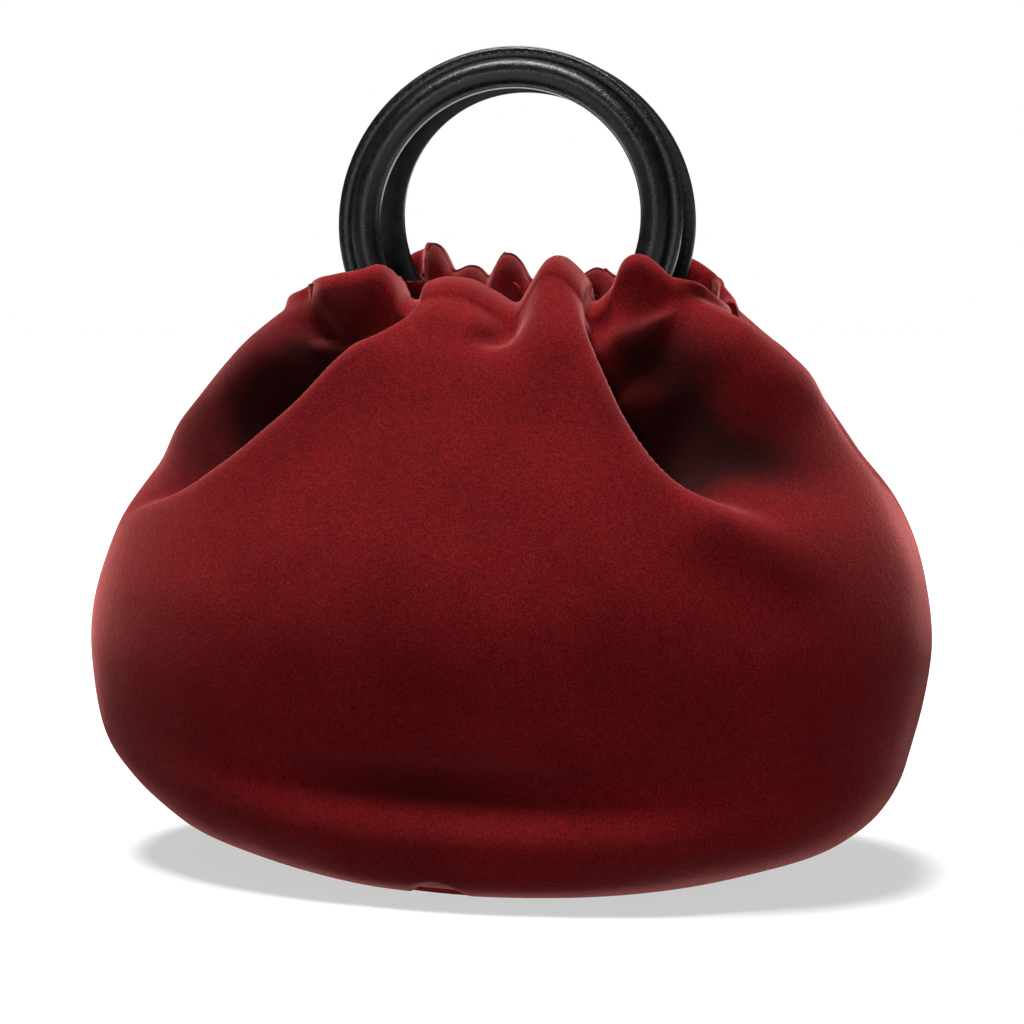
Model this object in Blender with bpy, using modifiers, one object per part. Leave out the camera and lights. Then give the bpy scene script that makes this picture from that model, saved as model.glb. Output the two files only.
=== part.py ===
"""Bucket bag of gathered suede with two round leather ring handles.

Frame: metres, +Z up, origin on the floor under the middle of the bag, front towards -Y.
The front half is built in the bag's own frame. The back half is the same shapes turned
half way round +Z by a parent empty. Each moving piece hangs from an empty on its joint.
"""

import math

import bmesh
import bpy
from mathutils import Matrix, Vector

# ---------------------------------------------------------------- driving dimensions
GAP = 0.0003  # between pieces that touch

# The suede body: height, half width, half depth, and how square the outline is there.
BODY_STATIONS = (
    (0.000, 0.1000, 0.0630, 2.2),
    (0.008, 0.1250, 0.0780, 2.2),
    (0.024, 0.1460, 0.0880, 2.3),
    (0.050, 0.1610, 0.0945, 2.3),
    (0.085, 0.1665, 0.0950, 2.3),
    (0.120, 0.1610, 0.0890, 2.3),
    (0.150, 0.1450, 0.0790, 2.4),
    (0.175, 0.1280, 0.0670, 2.6),
    (0.200, 0.1080, 0.0530, 3.0),
    (0.231, 0.0840, 0.0365, 4.0),
)
SUEDE = 0.0022
SEAM_GAP = 0.0007  # each half stops this far from the side seam
FOLD_CLEAR = 0.0005  # the fold line's axis lies this far in front of the suede
WALL_COLUMNS = 16
# Where the inward direction is measured: never closer to a side seam than this turn.
SEAM_TURN = 0.12
PROBE_TURN = 0.01
PROBE_RISE = 0.0005
SEAM_FLATTENING = 4  # near a seam the inset runs along it, so the halves stay apart

# The mouth: everything above the fold line tilts out with its handle.
FOLD_HEIGHT = 0.200
MOUTH_TOP = 0.231
MOUTH_ROWS = 3
PANEL_ROWS = 9
ROLL_HALF_WIDTH = 0.044  # the turned-over top edge between the ring's two legs
ROLL_SINK = 0.0016
ROLL_RISE = 0.0065
ROLL_BACK = 0.0070  # the roll's inner side, in front of the ring's plane at the facing's top
ROLL_STEPS = 8
ROLL_INSET = 0.0002  # keeps the roll's face and the wall's face apart

# The ring handles.
RING_OUTER = 0.0660
RING_INNER = 0.0508
RING_HEIGHT = 0.2520  # of a ring's centre
RING_FORWARD = 0.0215  # of a ring's centre from the bag's middle plane
RING_LEAN = math.radians(9.0)  # tops lean together
RING_STEPS = 48
TUBE_RADIUS = 0.0054
TUBE_END = 20  # degrees: where the tube meets the flat rim
INNER_ARC_STEPS = 6
OUTER_ARC_STEPS = 8
LEATHER = 0.0012
PLATE = 0.0010
BACKING = 0.0013
COVER_BASE = GAP

# The cloth sleeve that each ring's lower half runs through.
SLEEVE_CLEARANCE = 0.0012
SLEEVE_WALL = 0.0010
SLEEVE_CORNER = 0.0022
SLEEVE_TOP = -0.027  # in the ring's plane, from its centre
RING_BACK = -(PLATE + GAP + BACKING)  # the ring's flat back, along its axis

# The facing behind each ring.
FACING = 0.0018
FACING_HALF_WIDTH = 0.076
FACING_TOP = -0.0230
FACING_BOTTOM = -0.0745
FACING_CORNER = 0.020

# The base.
BOARD = 0.0020
# How far inside the base's outline each of its layers ends.
SOLE_INSET = 0.0030
BOARD_INSET = 0.0065
FLOOR_INSET = 0.0085
LINING = 0.0012
LINING_INSET = SUEDE + 0.0018
LINING_FOOT = 0.0045  # the lining wall's lower edge

# The pocket that hangs inside, behind.
POCKET_HALF_WIDTH = 0.058
POCKET_BOTTOM = 0.062
POCKET_MOUTH = 0.144
POCKET_BACK_TOP = 0.160
POCKET_BACK = 0.0625  # outer face of its back ply
POCKET_ROOM = 0.0075
POCKET_CLOTH = 0.0012
PLY_INSET = 0.0002  # the back ply's faces stay inside the pocket's, so none coincide
POCKET_OVERLAP = 0.0040  # the back ply reaches this far down into the pocket
TRIM_INSET = 0.0020
TRIM_HEIGHT = 0.010

# The closure tab and its magnetic snap.
TAB_WIDTH = 0.024
TAB_LENGTH = 0.034
TAB_THICK = 0.0020
TAB_FLAT = 0.0005  # left straight between the end's two rounded corners
TAB_PIVOT_DOWN = 0.0075  # below the facing's top edge
SNAP_RADIUS = 0.0075
SNAP_THICK = 0.0022
SNAP_PLATE = 0.0010  # the stud's plate
STUD_LENGTH = 0.0028
CAP_RADIUS = 0.0055
CAP_THICK = 0.0008
STUD_SEGMENTS = 20
CAP_SEGMENTS = 24
STUD_RADIUS = 0.0024
SOCKET_BORE = 0.0029
TAB_CLEAR = 0.0022  # the tab stands this far off the facing, which leans away below


# ---------------------------------------------------------------- scene and materials
def clear_scene():
    for old in list(bpy.data.objects):
        bpy.data.objects.remove(old)


def make_collection(name, hidden=False):
    made = bpy.data.collections.new(name)
    made.hide_render = hidden
    bpy.context.scene.collection.children.link(made)
    return made


def make_material(name, colour, roughness, metallic=0.0):
    material = bpy.data.materials.new(name)
    material.use_nodes = True
    shader = material.node_tree.nodes["Principled BSDF"]
    shader.inputs["Base Color"].default_value = (*colour, 1.0)
    shader.inputs["Roughness"].default_value = roughness
    shader.inputs["Metallic"].default_value = metallic
    return material


clear_scene()
BAG = make_collection("bucket_bag")
CUTTERS = make_collection("cutters", hidden=True)
RED_SUEDE = make_material("red_suede", (0.165, 0.010, 0.012), 0.95)
BLACK_LEATHER = make_material("black_leather", (0.012, 0.012, 0.013), 0.42)
CANVAS = make_material("lining_canvas", (0.300, 0.235, 0.165), 0.90)
FIBREBOARD = make_material("fibreboard", (0.240, 0.190, 0.130), 0.85)
HANDLE_CORE = make_material("handle_core", (0.450, 0.430, 0.400), 0.60)
SNAP_METAL = make_material("snap_metal", (0.560, 0.520, 0.440), 0.30, 1.0)


def place(obj, material, parent=None, at=(0.0, 0.0, 0.0), turn=(0.0, 0.0, 0.0)):
    """Links the object into the bag, at a place in its parent's frame."""
    obj.data.materials.append(material)
    obj.parent = parent
    obj.location = at
    obj.rotation_euler = turn
    BAG.objects.link(obj)
    return obj


def make_empty(name, parent=None, at=(0.0, 0.0, 0.0), turn=(0.0, 0.0, 0.0)):
    empty = bpy.data.objects.new(name, None)
    empty.parent = parent
    empty.location = at
    empty.rotation_euler = turn
    BAG.objects.link(empty)
    return empty


def make_cutter(name, mesh, parent=None, at=(0.0, 0.0, 0.0), turn=(0.0, 0.0, 0.0)):
    cutter = bpy.data.objects.new(name, mesh)
    cutter.parent = parent
    cutter.location = at
    cutter.rotation_euler = turn
    cutter.hide_render = True
    cutter.display_type = "WIRE"
    CUTTERS.objects.link(cutter)
    return cutter


def boolean(obj, other, operation):
    modifier = obj.modifiers.new(operation.lower(), "BOOLEAN")
    modifier.operation = operation
    modifier.object = other
    modifier.solver = "EXACT"


def smooth(mesh, angle=40.0):
    mesh.shade_smooth()
    mesh.set_sharp_from_angle(angle=math.radians(angle))


# ---------------------------------------------------------------- shapes used by several pieces
def section_at(height):
    """Half width, half depth and squareness of the body's outline at a height."""
    stations = BODY_STATIONS
    last = len(stations) - 1
    k = max(i for i in range(last) if stations[i][0] <= height or i == 0)
    span = stations[k + 1][0] - stations[k][0]
    t = (height - stations[k][0]) / span

    def slope(i, column):
        low, high = stations[max(i - 1, 0)], stations[min(i + 1, last)]
        return (high[column] - low[column]) / (high[0] - low[0]) * span

    found = []
    for column in (1, 2, 3):
        here, there = stations[k][column], stations[k + 1][column]
        found.append(
            (2 * t**3 - 3 * t**2 + 1) * here
            + (t**3 - 2 * t**2 + t) * slope(k, column)
            + (3 * t**2 - 2 * t**3) * there
            + (t**3 - t**2) * slope(k + 1, column)
        )
    return found


def wall_point(angle, height, inset):
    """A point of the front wall, from its right side seam (0) to its left one (pi)."""

    def on_skin(a, z):
        half_width, half_depth, square = section_at(z)
        c, s = math.cos(a), math.sin(a)
        x = math.copysign(abs(c) ** (2 / square), c) * half_width
        return Vector((x, -abs(s) ** (2 / square) * half_depth - SEAM_GAP, z))

    middle = min(max(angle, SEAM_TURN), math.pi - SEAM_TURN)
    across = on_skin(middle + PROBE_TURN, height) - on_skin(middle - PROBE_TURN, height)
    up = on_skin(middle, height + PROBE_RISE) - on_skin(middle, height - PROBE_RISE)
    outward = up.cross(across).normalized()
    if outward.y > 0:
        outward.negate()
    outward.y *= min(1.0, math.sin(angle) * SEAM_FLATTENING)
    return on_skin(angle, height) - outward.normalized() * inset


def wall_mesh(name, low, high, rows, inset, crowd=1.0):
    """The front wall as an open sheet. Rows crowd towards the bottom when crowd is over 1."""
    bm = bmesh.new()
    grid = []
    for row in range(rows + 1):
        height = low + (high - low) * (row / rows) ** crowd
        angles = [math.pi * k / WALL_COLUMNS for k in range(WALL_COLUMNS + 1)]
        grid.append([bm.verts.new(wall_point(a, height, inset)) for a in angles])
    for lower, upper in zip(grid, grid[1:]):
        for k in range(WALL_COLUMNS):
            bm.faces.new((lower[k], upper[k], upper[k + 1], lower[k + 1]))
    bmesh.ops.recalc_face_normals(bm, faces=bm.faces)
    centre_face = min(bm.faces, key=lambda f: f.calc_center_median().y)
    if centre_face.normal.y > 0:
        bmesh.ops.reverse_faces(bm, faces=bm.faces)
    mesh = bpy.data.meshes.new(name)
    bm.to_mesh(mesh)
    bm.free()
    mesh.shade_smooth()
    return mesh


def solidify(obj, thickness):
    modifier = obj.modifiers.new("thickness", "SOLIDIFY")
    modifier.thickness = thickness
    modifier.offset = -1.0
    modifier.use_even_offset = True
    modifier.use_rim = True


def turned_mesh(name, outline):
    """An outline of (radius, along the axis) points, turned round +Z."""
    mesh = bpy.data.meshes.new(name)
    count = len(outline)
    edges = [(k, (k + 1) % count) for k in range(count)]
    mesh.from_pydata([(r, 0.0, n) for r, n in outline], edges, [])
    return mesh


def turn_round(obj):
    modifier = obj.modifiers.new("turn", "SCREW")
    modifier.axis = "Z"
    modifier.angle = 2 * math.pi
    modifier.steps = RING_STEPS
    modifier.render_steps = RING_STEPS
    modifier.use_merge_vertices = True
    modifier.merge_threshold = 0.0001
    modifier.use_smooth_shade = True


def cylinder_mesh(name, radius, height, segments=32, bore=0.0):
    """A disc on the XY plane that rises along +Z, with an optional hole through it."""
    bm = bmesh.new()
    if bore:
        loops = []
        for r, z in ((radius, 0.0), (radius, height), (bore, height), (bore, 0.0)):
            turns = [2 * math.pi * k / segments for k in range(segments)]
            loops.append(
                [bm.verts.new((r * math.cos(a), r * math.sin(a), z)) for a in turns]
            )
        for a, b in zip(loops, loops[1:] + loops[:1]):
            for k in range(segments):
                j = (k + 1) % segments
                bm.faces.new((a[k], a[j], b[j], b[k]))
    else:
        bmesh.ops.create_cone(
            bm,
            cap_ends=True,
            segments=segments,
            radius1=radius,
            radius2=radius,
            depth=height,
            matrix=Matrix.Translation((0, 0, height / 2)),
        )
    bmesh.ops.recalc_face_normals(bm, faces=bm.faces)
    mesh = bpy.data.meshes.new(name)
    bm.to_mesh(mesh)
    bm.free()
    smooth(mesh)
    return mesh


def box_mesh(name, size, centre=(0.0, 0.0, 0.0)):
    bm = bmesh.new()
    bmesh.ops.create_cube(
        bm, size=1.0, matrix=Matrix.Translation(centre) @ Matrix.Diagonal((*size, 1.0))
    )
    mesh = bpy.data.meshes.new(name)
    bm.to_mesh(mesh)
    bm.free()
    return mesh


def plate_object(name, outline, thickness):
    """A flat plate on the XY plane, centred on it, from a closed outline of straight runs."""
    curve = bpy.data.curves.new(name, "CURVE")
    curve.dimensions = "2D"
    curve.fill_mode = "BOTH"
    curve.extrude = thickness / 2
    spline = curve.splines.new("POLY")
    spline.points.add(len(outline) - 1)
    for point, (x, y) in zip(spline.points, outline):
        point.co = (x, y, 0.0, 1.0)
    spline.use_cyclic_u = True
    return bpy.data.objects.new(name, curve)


def rounded_outline(half_width, low, high, corner, steps=5):
    """A rectangle with round lower corners, anticlockwise from its top right."""
    points = [(half_width, high), (-half_width, high)]
    for side, start in ((-1, math.pi), (1, 1.5 * math.pi)):
        for k in range(steps + 1):
            a = start + math.pi / 2 * k / steps
            x = side * (half_width - corner) + corner * math.cos(a)
            points.append((x, low + corner + corner * math.sin(a)))
    return points


def oval_outline(half_width, half_depth, square, count=40):
    points = []
    for k in range(count):
        a = 2 * math.pi * k / count
        c, s = math.cos(a), math.sin(a)
        points.append(
            (
                math.copysign(abs(c) ** (2 / square), c) * half_width,
                math.copysign(abs(s) ** (2 / square), s) * half_depth,
            )
        )
    return points


# ---------------------------------------------------------------- the two halves' frames
FOLD_FORWARD = section_at(FOLD_HEIGHT)[1] + SEAM_GAP + FOLD_CLEAR
HALVES = {
    "front": make_empty("front_half"),
    "back": make_empty("back_half", turn=(0.0, 0.0, math.pi)),
}
MOUTHS = {
    side: make_empty(f"{side}_mouth", half, (0.0, -FOLD_FORWARD, FOLD_HEIGHT))
    for side, half in HALVES.items()
}
# A ring's frame: its centre, +Z along its axis and out of the bag, +Y up its plane.
RINGS = {
    side: make_empty(
        f"{side}_ring",
        mouth,
        (0.0, FOLD_FORWARD - RING_FORWARD, RING_HEIGHT - FOLD_HEIGHT),
        (math.pi / 2 - RING_LEAN, 0.0, 0.0),
    )
    for side, mouth in MOUTHS.items()
}


# ---------------------------------------------------------------- suede body
def add_wall(name, material, parent, low, high, rows, inset, thickness, crowd=1.0, shift=None):
    mesh = wall_mesh(name, low, high, rows, inset, crowd)
    at = shift or Vector((0.0, 0.0, 0.0))
    mesh.transform(Matrix.Translation(-at))
    obj = place(bpy.data.objects.new(name, mesh), material, parent)
    solidify(obj, thickness)
    return obj


def make_panels():
    """The suede below the fold line and the lining inside it, in two halves each."""
    top = FOLD_HEIGHT - GAP
    for side, half in HALVES.items():
        add_wall(f"{side}_panel", RED_SUEDE, half, 0.0, top, PANEL_ROWS, 0.0, SUEDE, 1.5)
        add_wall(
            f"{side}_lining", CANVAS, half, LINING_FOOT, top, PANEL_ROWS, LINING_INSET, LINING, 1.5
        )


def make_base():
    """Suede sole, stiffening board and lining floor, one above the other."""
    layers = (
        ("base_panel", RED_SUEDE, 0.0, SUEDE, SOLE_INSET),
        ("base_board", FIBREBOARD, SUEDE + GAP, BOARD, BOARD_INSET),
        ("base_lining", CANVAS, SUEDE + BOARD + 2 * GAP, LINING, FLOOR_INSET),
    )
    half_width, half_depth, square = section_at(0.0)
    for name, material, low, thickness, inside in layers:
        outline = oval_outline(half_width - inside, half_depth - inside, square)
        place(plate_object(name, outline, thickness), material, at=(0, 0, low + thickness / 2))


# ---------------------------------------------------------------- mouth
def add_top_roll(gather, mouth):
    """Joins the wall's top edge to an arch that turns over towards the facing."""
    front = section_at(MOUTH_TOP)[1] - ROLL_INSET
    rear = RING_FORWARD - math.sin(RING_LEAN) * FACING_TOP - ROLL_BACK
    reach = (front - rear) / 2
    outer, inner = [], []
    for k in range(ROLL_STEPS + 1):
        a = math.pi * k / ROLL_STEPS
        c, s = math.cos(a), math.sin(a)
        outer.append((reach * c, ROLL_RISE * s))
        inner.append(((reach - SUEDE) * c, (ROLL_RISE - SUEDE) * s))
    outer = [(reach, -ROLL_SINK), *outer, (-reach, -ROLL_SINK)]
    inner = [(reach - SUEDE, -ROLL_SINK), *inner, (SUEDE - reach, -ROLL_SINK)]
    arch = plate_object("arch", outer + inner[::-1], 2 * ROLL_HALF_WIDTH)
    mesh = bpy.data.meshes.new_from_object(arch)
    bpy.data.objects.remove(arch)
    bm = bmesh.new()
    bm.from_mesh(mesh)
    bmesh.ops.remove_doubles(bm, verts=bm.verts, dist=0.00001)
    bm.to_mesh(mesh)
    bm.free()
    # The arch's outline stands in XY: its X becomes forward (-Y), its Y up, its extrusion X.
    stand = Matrix(((0, 0, 1, 0), (-1, 0, 0, 0), (0, 1, 0, 0), (0, 0, 0, 1)))
    mesh.transform(stand)
    centre = -(front + rear) / 2
    at = (0.0, FOLD_FORWARD + centre, MOUTH_TOP - FOLD_HEIGHT)
    boolean(gather, make_cutter(f"{gather.name}_roll", mesh, mouth, at), "UNION")


def make_gathers():
    """The suede above the fold line: its front wall and its turned-over top edge."""
    for side, mouth in MOUTHS.items():
        gather = add_wall(
            f"{side}_gather",
            RED_SUEDE,
            mouth,
            FOLD_HEIGHT + GAP,
            MOUTH_TOP,
            MOUTH_ROWS,
            0.0,
            SUEDE,
            shift=Vector((0.0, -FOLD_FORWARD, FOLD_HEIGHT)),
        )
        add_top_roll(gather, mouth)


SLEEVE_REACH = TUBE_RADIUS + COVER_BASE + SLEEVE_CLEARANCE  # in front of the ring's plane
SLEEVE_BACK = RING_BACK - SLEEVE_CLEARANCE
FACING_FRONT = SLEEVE_BACK - SLEEVE_WALL - GAP  # along the ring's axis


def sleeve_outline(grow):
    """The channel's section round the ring, grown by the cloth's thickness for its outside."""
    inner = RING_INNER - SLEEVE_CLEARANCE - grow
    outer = RING_OUTER + SLEEVE_CLEARANCE + grow
    front, back = SLEEVE_REACH + grow, SLEEVE_BACK - grow
    cut = SLEEVE_CORNER
    return [
        (outer, front - 2 * cut),
        (outer, back + cut),
        (outer - cut, back),
        (inner + cut, back),
        (inner, back + cut),
        (inner, front - cut),
        (inner + cut, front),
        (outer - 2 * cut, front),
    ]


def make_sleeves():
    """The cloth sleeve round the lower half of each ring."""
    outside = turned_mesh("sleeve_outside", sleeve_outline(SLEEVE_WALL))
    inside = turned_mesh("sleeve_inside", sleeve_outline(0.0))
    reach = 4 * RING_OUTER
    above = box_mesh("above_sleeve", (reach, reach, reach), (0, SLEEVE_TOP + reach / 2, 0))
    for side, ring in RINGS.items():
        sleeve = place(
            bpy.data.objects.new(f"{side}_ring_sleeve", outside.copy()), CANVAS, ring
        )
        turn_round(sleeve)
        channel = make_cutter(f"{side}_channel", inside, ring)
        turn_round(channel)
        boolean(sleeve, channel, "DIFFERENCE")
        boolean(sleeve, make_cutter(f"{side}_above_sleeve", above, ring), "DIFFERENCE")


def make_facings():
    """The suede facing behind each ring, in the ring's leaning plane."""
    outline = rounded_outline(FACING_HALF_WIDTH, FACING_BOTTOM, FACING_TOP, FACING_CORNER)
    for side, ring in RINGS.items():
        facing = plate_object(f"{side}_facing", outline, FACING)
        place(facing, RED_SUEDE, ring, (0.0, 0.0, FACING_FRONT - FACING / 2))


# ---------------------------------------------------------------- ring handles
def arc(radius, start, end, steps):
    """Points round the tube's centre, from one angle to another, in degrees."""
    centre = RING_INNER + TUBE_RADIUS
    angles = [math.radians(start + (end - start) * k / steps) for k in range(steps + 1)]
    return [
        (centre + radius * math.cos(a), COVER_BASE + radius * math.sin(a)) for a in angles
    ]


def make_rings():
    """Each handle is a half-round core on a flat plate, between a leather cover and a backing."""
    flange = COVER_BASE + LEATHER
    under = TUBE_RADIUS - LEATHER
    outlines = {
        "cover": (
            BLACK_LEATHER,
            [(RING_OUTER, flange), (RING_OUTER, COVER_BASE)]
            + arc(under, 0, 180, INNER_ARC_STEPS)
            + arc(TUBE_RADIUS, 180, TUBE_END, OUTER_ARC_STEPS),
        ),
        "core": (HANDLE_CORE, arc(under - GAP, 0, 180, INNER_ARC_STEPS)[::-1]),
        "plate": (
            HANDLE_CORE,
            [
                (RING_OUTER - LEATHER, 0.0),
                (RING_OUTER - LEATHER, -PLATE),
                (RING_INNER + LEATHER, -PLATE),
                (RING_INNER + LEATHER, 0.0),
            ],
        ),
        "backing": (
            BLACK_LEATHER,
            [
                (RING_OUTER, -PLATE - GAP),
                (RING_OUTER, RING_BACK),
                (RING_INNER, RING_BACK),
                (RING_INNER, -PLATE - GAP),
            ],
        ),
    }
    for part, (material, outline) in outlines.items():
        mesh = turned_mesh(f"ring_{part}", outline)
        for side, ring in RINGS.items():
            obj = place(
                bpy.data.objects.new(f"{side}_ring_{part}", mesh.copy()), material, ring
            )
            turn_round(obj)


# ---------------------------------------------------------------- closure and pocket
def make_closure():
    """A leather tab on the back facing with the snap's stud, and the socket on the front one."""
    behind = FACING_FRONT - FACING  # each facing's inner face, along its ring's axis
    hang = FACING_TOP - TAB_PIVOT_DOWN
    tab_frame = make_empty(
        "closure_tab_pivot",
        RINGS["back"],
        (0.0, hang, behind - GAP - TAB_THICK / 2),
    )
    # +Y of this frame is straight up: the tab hangs plumb, though the facing leans.
    tab_frame.rotation_euler = (RING_LEAN, 0.0, 0.0)
    end = TAB_WIDTH / 2
    outline = rounded_outline(end, -TAB_LENGTH, 0.0, end - TAB_FLAT)
    tab = plate_object("closure_tab", outline, TAB_THICK)
    tab_forward = -TAB_CLEAR
    place(tab, BLACK_LEATHER, tab_frame, (0.0, 0.0, tab_forward))
    snap_down = -TAB_LENGTH + end
    face = tab_forward - TAB_THICK / 2
    stud = cylinder_mesh("snap_stud", SNAP_RADIUS, SNAP_PLATE)
    pin = cylinder_mesh("snap_pin", STUD_RADIUS, STUD_LENGTH, STUD_SEGMENTS)
    obj = place(
        bpy.data.objects.new("snap_stud", stud),
        SNAP_METAL,
        tab_frame,
        (0.0, snap_down, face - GAP),
        (math.pi, 0.0, 0.0),
    )
    boolean(obj, make_cutter("snap_pin", pin, obj, (0.0, 0.0, GAP)), "UNION")
    cap = cylinder_mesh("snap_stud_cap", CAP_RADIUS, CAP_THICK, CAP_SEGMENTS)
    place(
        bpy.data.objects.new("snap_stud_cap", cap),
        SNAP_METAL,
        tab_frame,
        (0.0, snap_down, tab_forward + TAB_THICK / 2 + GAP),
    )
    ring = RINGS["front"]
    low = hang + snap_down
    socket = cylinder_mesh("snap_socket", SNAP_RADIUS, SNAP_THICK, bore=SOCKET_BORE)
    place(
        bpy.data.objects.new("snap_socket", socket),
        SNAP_METAL,
        ring,
        (0.0, low, behind - GAP),
        (math.pi, 0.0, 0.0),
    )


def make_pocket():
    """A flat cloth pocket that hangs inside the back, and the leather trim on its front ply."""
    height = POCKET_MOUTH - POCKET_BOTTOM
    deep = POCKET_ROOM + 2 * POCKET_CLOTH
    front = POCKET_BACK - deep
    body = box_mesh(
        "inner_pocket",
        (2 * POCKET_HALF_WIDTH, deep, height),
        (0.0, front + deep / 2, POCKET_BOTTOM + height / 2),
    )
    pocket = place(bpy.data.objects.new("inner_pocket", body), CANVAS)
    room = box_mesh(
        "pocket_room",
        (2 * (POCKET_HALF_WIDTH - POCKET_CLOTH), POCKET_ROOM, height),
        (0.0, front + deep / 2, POCKET_BOTTOM + POCKET_CLOTH + height / 2),
    )
    boolean(pocket, make_cutter("pocket_room", room), "DIFFERENCE")
    back = box_mesh(
        "pocket_back",
        (
            2 * (POCKET_HALF_WIDTH - PLY_INSET),
            POCKET_CLOTH - PLY_INSET,
            POCKET_BACK_TOP - POCKET_MOUTH + POCKET_OVERLAP,
        ),
        (
            0.0,
            POCKET_BACK - POCKET_CLOTH / 2,
            (POCKET_BACK_TOP + POCKET_MOUTH - POCKET_OVERLAP) / 2,
        ),
    )
    boolean(pocket, make_cutter("pocket_back", back), "UNION")
    trim = box_mesh(
        "pocket_trim",
        (2 * (POCKET_HALF_WIDTH - TRIM_INSET), LEATHER, TRIM_HEIGHT),
        (0.0, front - GAP - LEATHER / 2, POCKET_MOUTH - TRIM_HEIGHT / 2),
    )
    place(bpy.data.objects.new("pocket_trim", trim), BLACK_LEATHER)


make_panels()
make_base()
make_gathers()
make_sleeves()
make_facings()
make_rings()
make_closure()
make_pocket()
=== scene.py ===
"""A suede bucket bag with two leather ring handles: its looks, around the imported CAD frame.

Metres throughout. The bag stands on z = 0, its front faces -Y, and the rings' axes run front to back.
"""

import math

import bmesh
import bpy
import numpy as np
from mathutils import Matrix, Vector, noise


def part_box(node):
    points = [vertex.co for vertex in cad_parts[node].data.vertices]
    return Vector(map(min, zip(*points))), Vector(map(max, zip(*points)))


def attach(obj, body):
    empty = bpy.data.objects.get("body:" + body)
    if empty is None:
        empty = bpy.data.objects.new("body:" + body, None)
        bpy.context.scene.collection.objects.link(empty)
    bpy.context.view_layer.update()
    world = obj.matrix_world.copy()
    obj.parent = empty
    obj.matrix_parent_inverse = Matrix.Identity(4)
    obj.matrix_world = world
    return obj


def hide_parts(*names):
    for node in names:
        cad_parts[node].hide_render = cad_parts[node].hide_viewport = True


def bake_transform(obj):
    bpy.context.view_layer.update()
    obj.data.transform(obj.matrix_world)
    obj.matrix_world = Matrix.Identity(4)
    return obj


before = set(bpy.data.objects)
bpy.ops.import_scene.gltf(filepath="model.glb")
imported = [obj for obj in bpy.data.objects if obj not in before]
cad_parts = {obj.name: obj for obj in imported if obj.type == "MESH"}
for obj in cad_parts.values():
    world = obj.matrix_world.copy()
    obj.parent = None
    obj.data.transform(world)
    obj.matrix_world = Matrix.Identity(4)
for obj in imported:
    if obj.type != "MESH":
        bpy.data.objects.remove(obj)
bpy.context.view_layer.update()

# ---------------------------------------------------------------- sizes
SUEDE_THICK = 0.0020
SEAM_GAP = 0.00012  # each half stops this far from the side seam's plane
SEAM_ALLOWANCE = 0.0055  # turned in along the side seams
LINING_THICK = 0.0009
LINING_INSET = 0.0046  # the lining's outer face, inside the suede's
LINING_SLACK = 0.0130  # further in where the mouth tilts
LINING_SLACK_REACH = 0.0300
LINING_FACING_ROOM = 0.0320  # it keeps this far from the middle plane, in front of the facing

# The body's level sections: height, half width on the left and on the right, depth in front and
# behind, and squareness (2 is an ellipse).
SECTIONS = (
    (0.0003, 0.079, 0.079, 0.0630, 0.0620, 2.0),
    (0.0030, 0.093, 0.095, 0.0750, 0.0730, 2.05),
    (0.0100, 0.117, 0.119, 0.0850, 0.0825, 2.1),
    (0.0220, 0.1405, 0.1385, 0.0905, 0.0880, 2.2),
    (0.0360, 0.1570, 0.1485, 0.0905, 0.0915, 2.3),
    (0.0500, 0.1665, 0.1530, 0.0890, 0.0940, 2.3),
    (0.0700, 0.1710, 0.1580, 0.0935, 0.0950, 2.3),
    (0.0900, 0.1720, 0.1605, 0.0970, 0.0950, 2.3),
    (0.1100, 0.1685, 0.1585, 0.0970, 0.0930, 2.3),
    (0.1300, 0.1605, 0.1535, 0.0935, 0.0870, 2.3),
    (0.1480, 0.1490, 0.1445, 0.0875, 0.0790, 2.4),
    (0.1650, 0.1365, 0.1305, 0.0810, 0.0705, 2.5),
    (0.1800, 0.1245, 0.1195, 0.0745, 0.0630, 2.6),
    (0.1950, 0.1145, 0.1115, 0.0690, 0.0560, 2.8),
    (0.2080, 0.1055, 0.1015, 0.0635, 0.0500, 3.0),
    (0.2200, 0.0965, 0.0925, 0.0560, 0.0455, 3.1),
    (0.2320, 0.0890, 0.0840, 0.0460, 0.0410, 3.1),
)
SHOULDER = 0.190  # above this the wall is fitted to the rim
WALL_TOP = 0.230  # the wall's last row, before it is fitted
FINE_HEIGHT = 0.020  # the rows are closer together below this
FINE_ROWS = 22
COLUMNS = 260
WALL_ROWS = 112
TOP_ROWS = 30
ROLL_ROWS = 14
HEM_ROWS = 7
ALLOWANCE_STEPS = 4

RING_CENTRE = Vector((0.0, -0.0215, 0.2520))
RING_LEAN = math.radians(9.0)
RING_OUTER = 0.0660
RING_INNER = 0.0508
TUBE = 0.0054
LEATHER = 0.0012
RING_BACK = -0.0026
COVER_FOOT = 0.0003  # the cover starts this far above the ring's middle plane
RING_STITCHES = 112
STITCH_INSET = 0.0024


# ---------------------------------------------------------------- small tools
def smooth_step(low, high, value):
    t = np.clip((value - low) / (high - low), 0.0, 1.0)
    return t * t * (3 - 2 * t)


def smooth_line(points, steps=12):
    """A Catmull-Rom line through the points."""
    p = np.array(points, float)
    p = np.vstack([2 * p[0] - p[1], p, 2 * p[-1] - p[-2]])
    t = np.linspace(0, 1, steps, endpoint=False)[:, None]
    runs = []
    for k in range(1, len(p) - 2):
        a, b, c, d = p[k - 1], p[k], p[k + 1], p[k + 2]
        runs.append(
            0.5
            * (
                2 * b
                + (c - a) * t
                + (2 * a - 5 * b + 4 * c - d) * t**2
                + (3 * b - a - 3 * c + d) * t**3
            )
        )
    return np.vstack([*runs, p[-2:-1]])


def across(points, values, x):
    """Values along X through given points, without corners."""
    line = smooth_line(list(zip(points, values)))
    order = np.argsort(line[:, 0], kind="stable")
    return np.interp(x, line[order, 0], line[order, 1])


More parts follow.
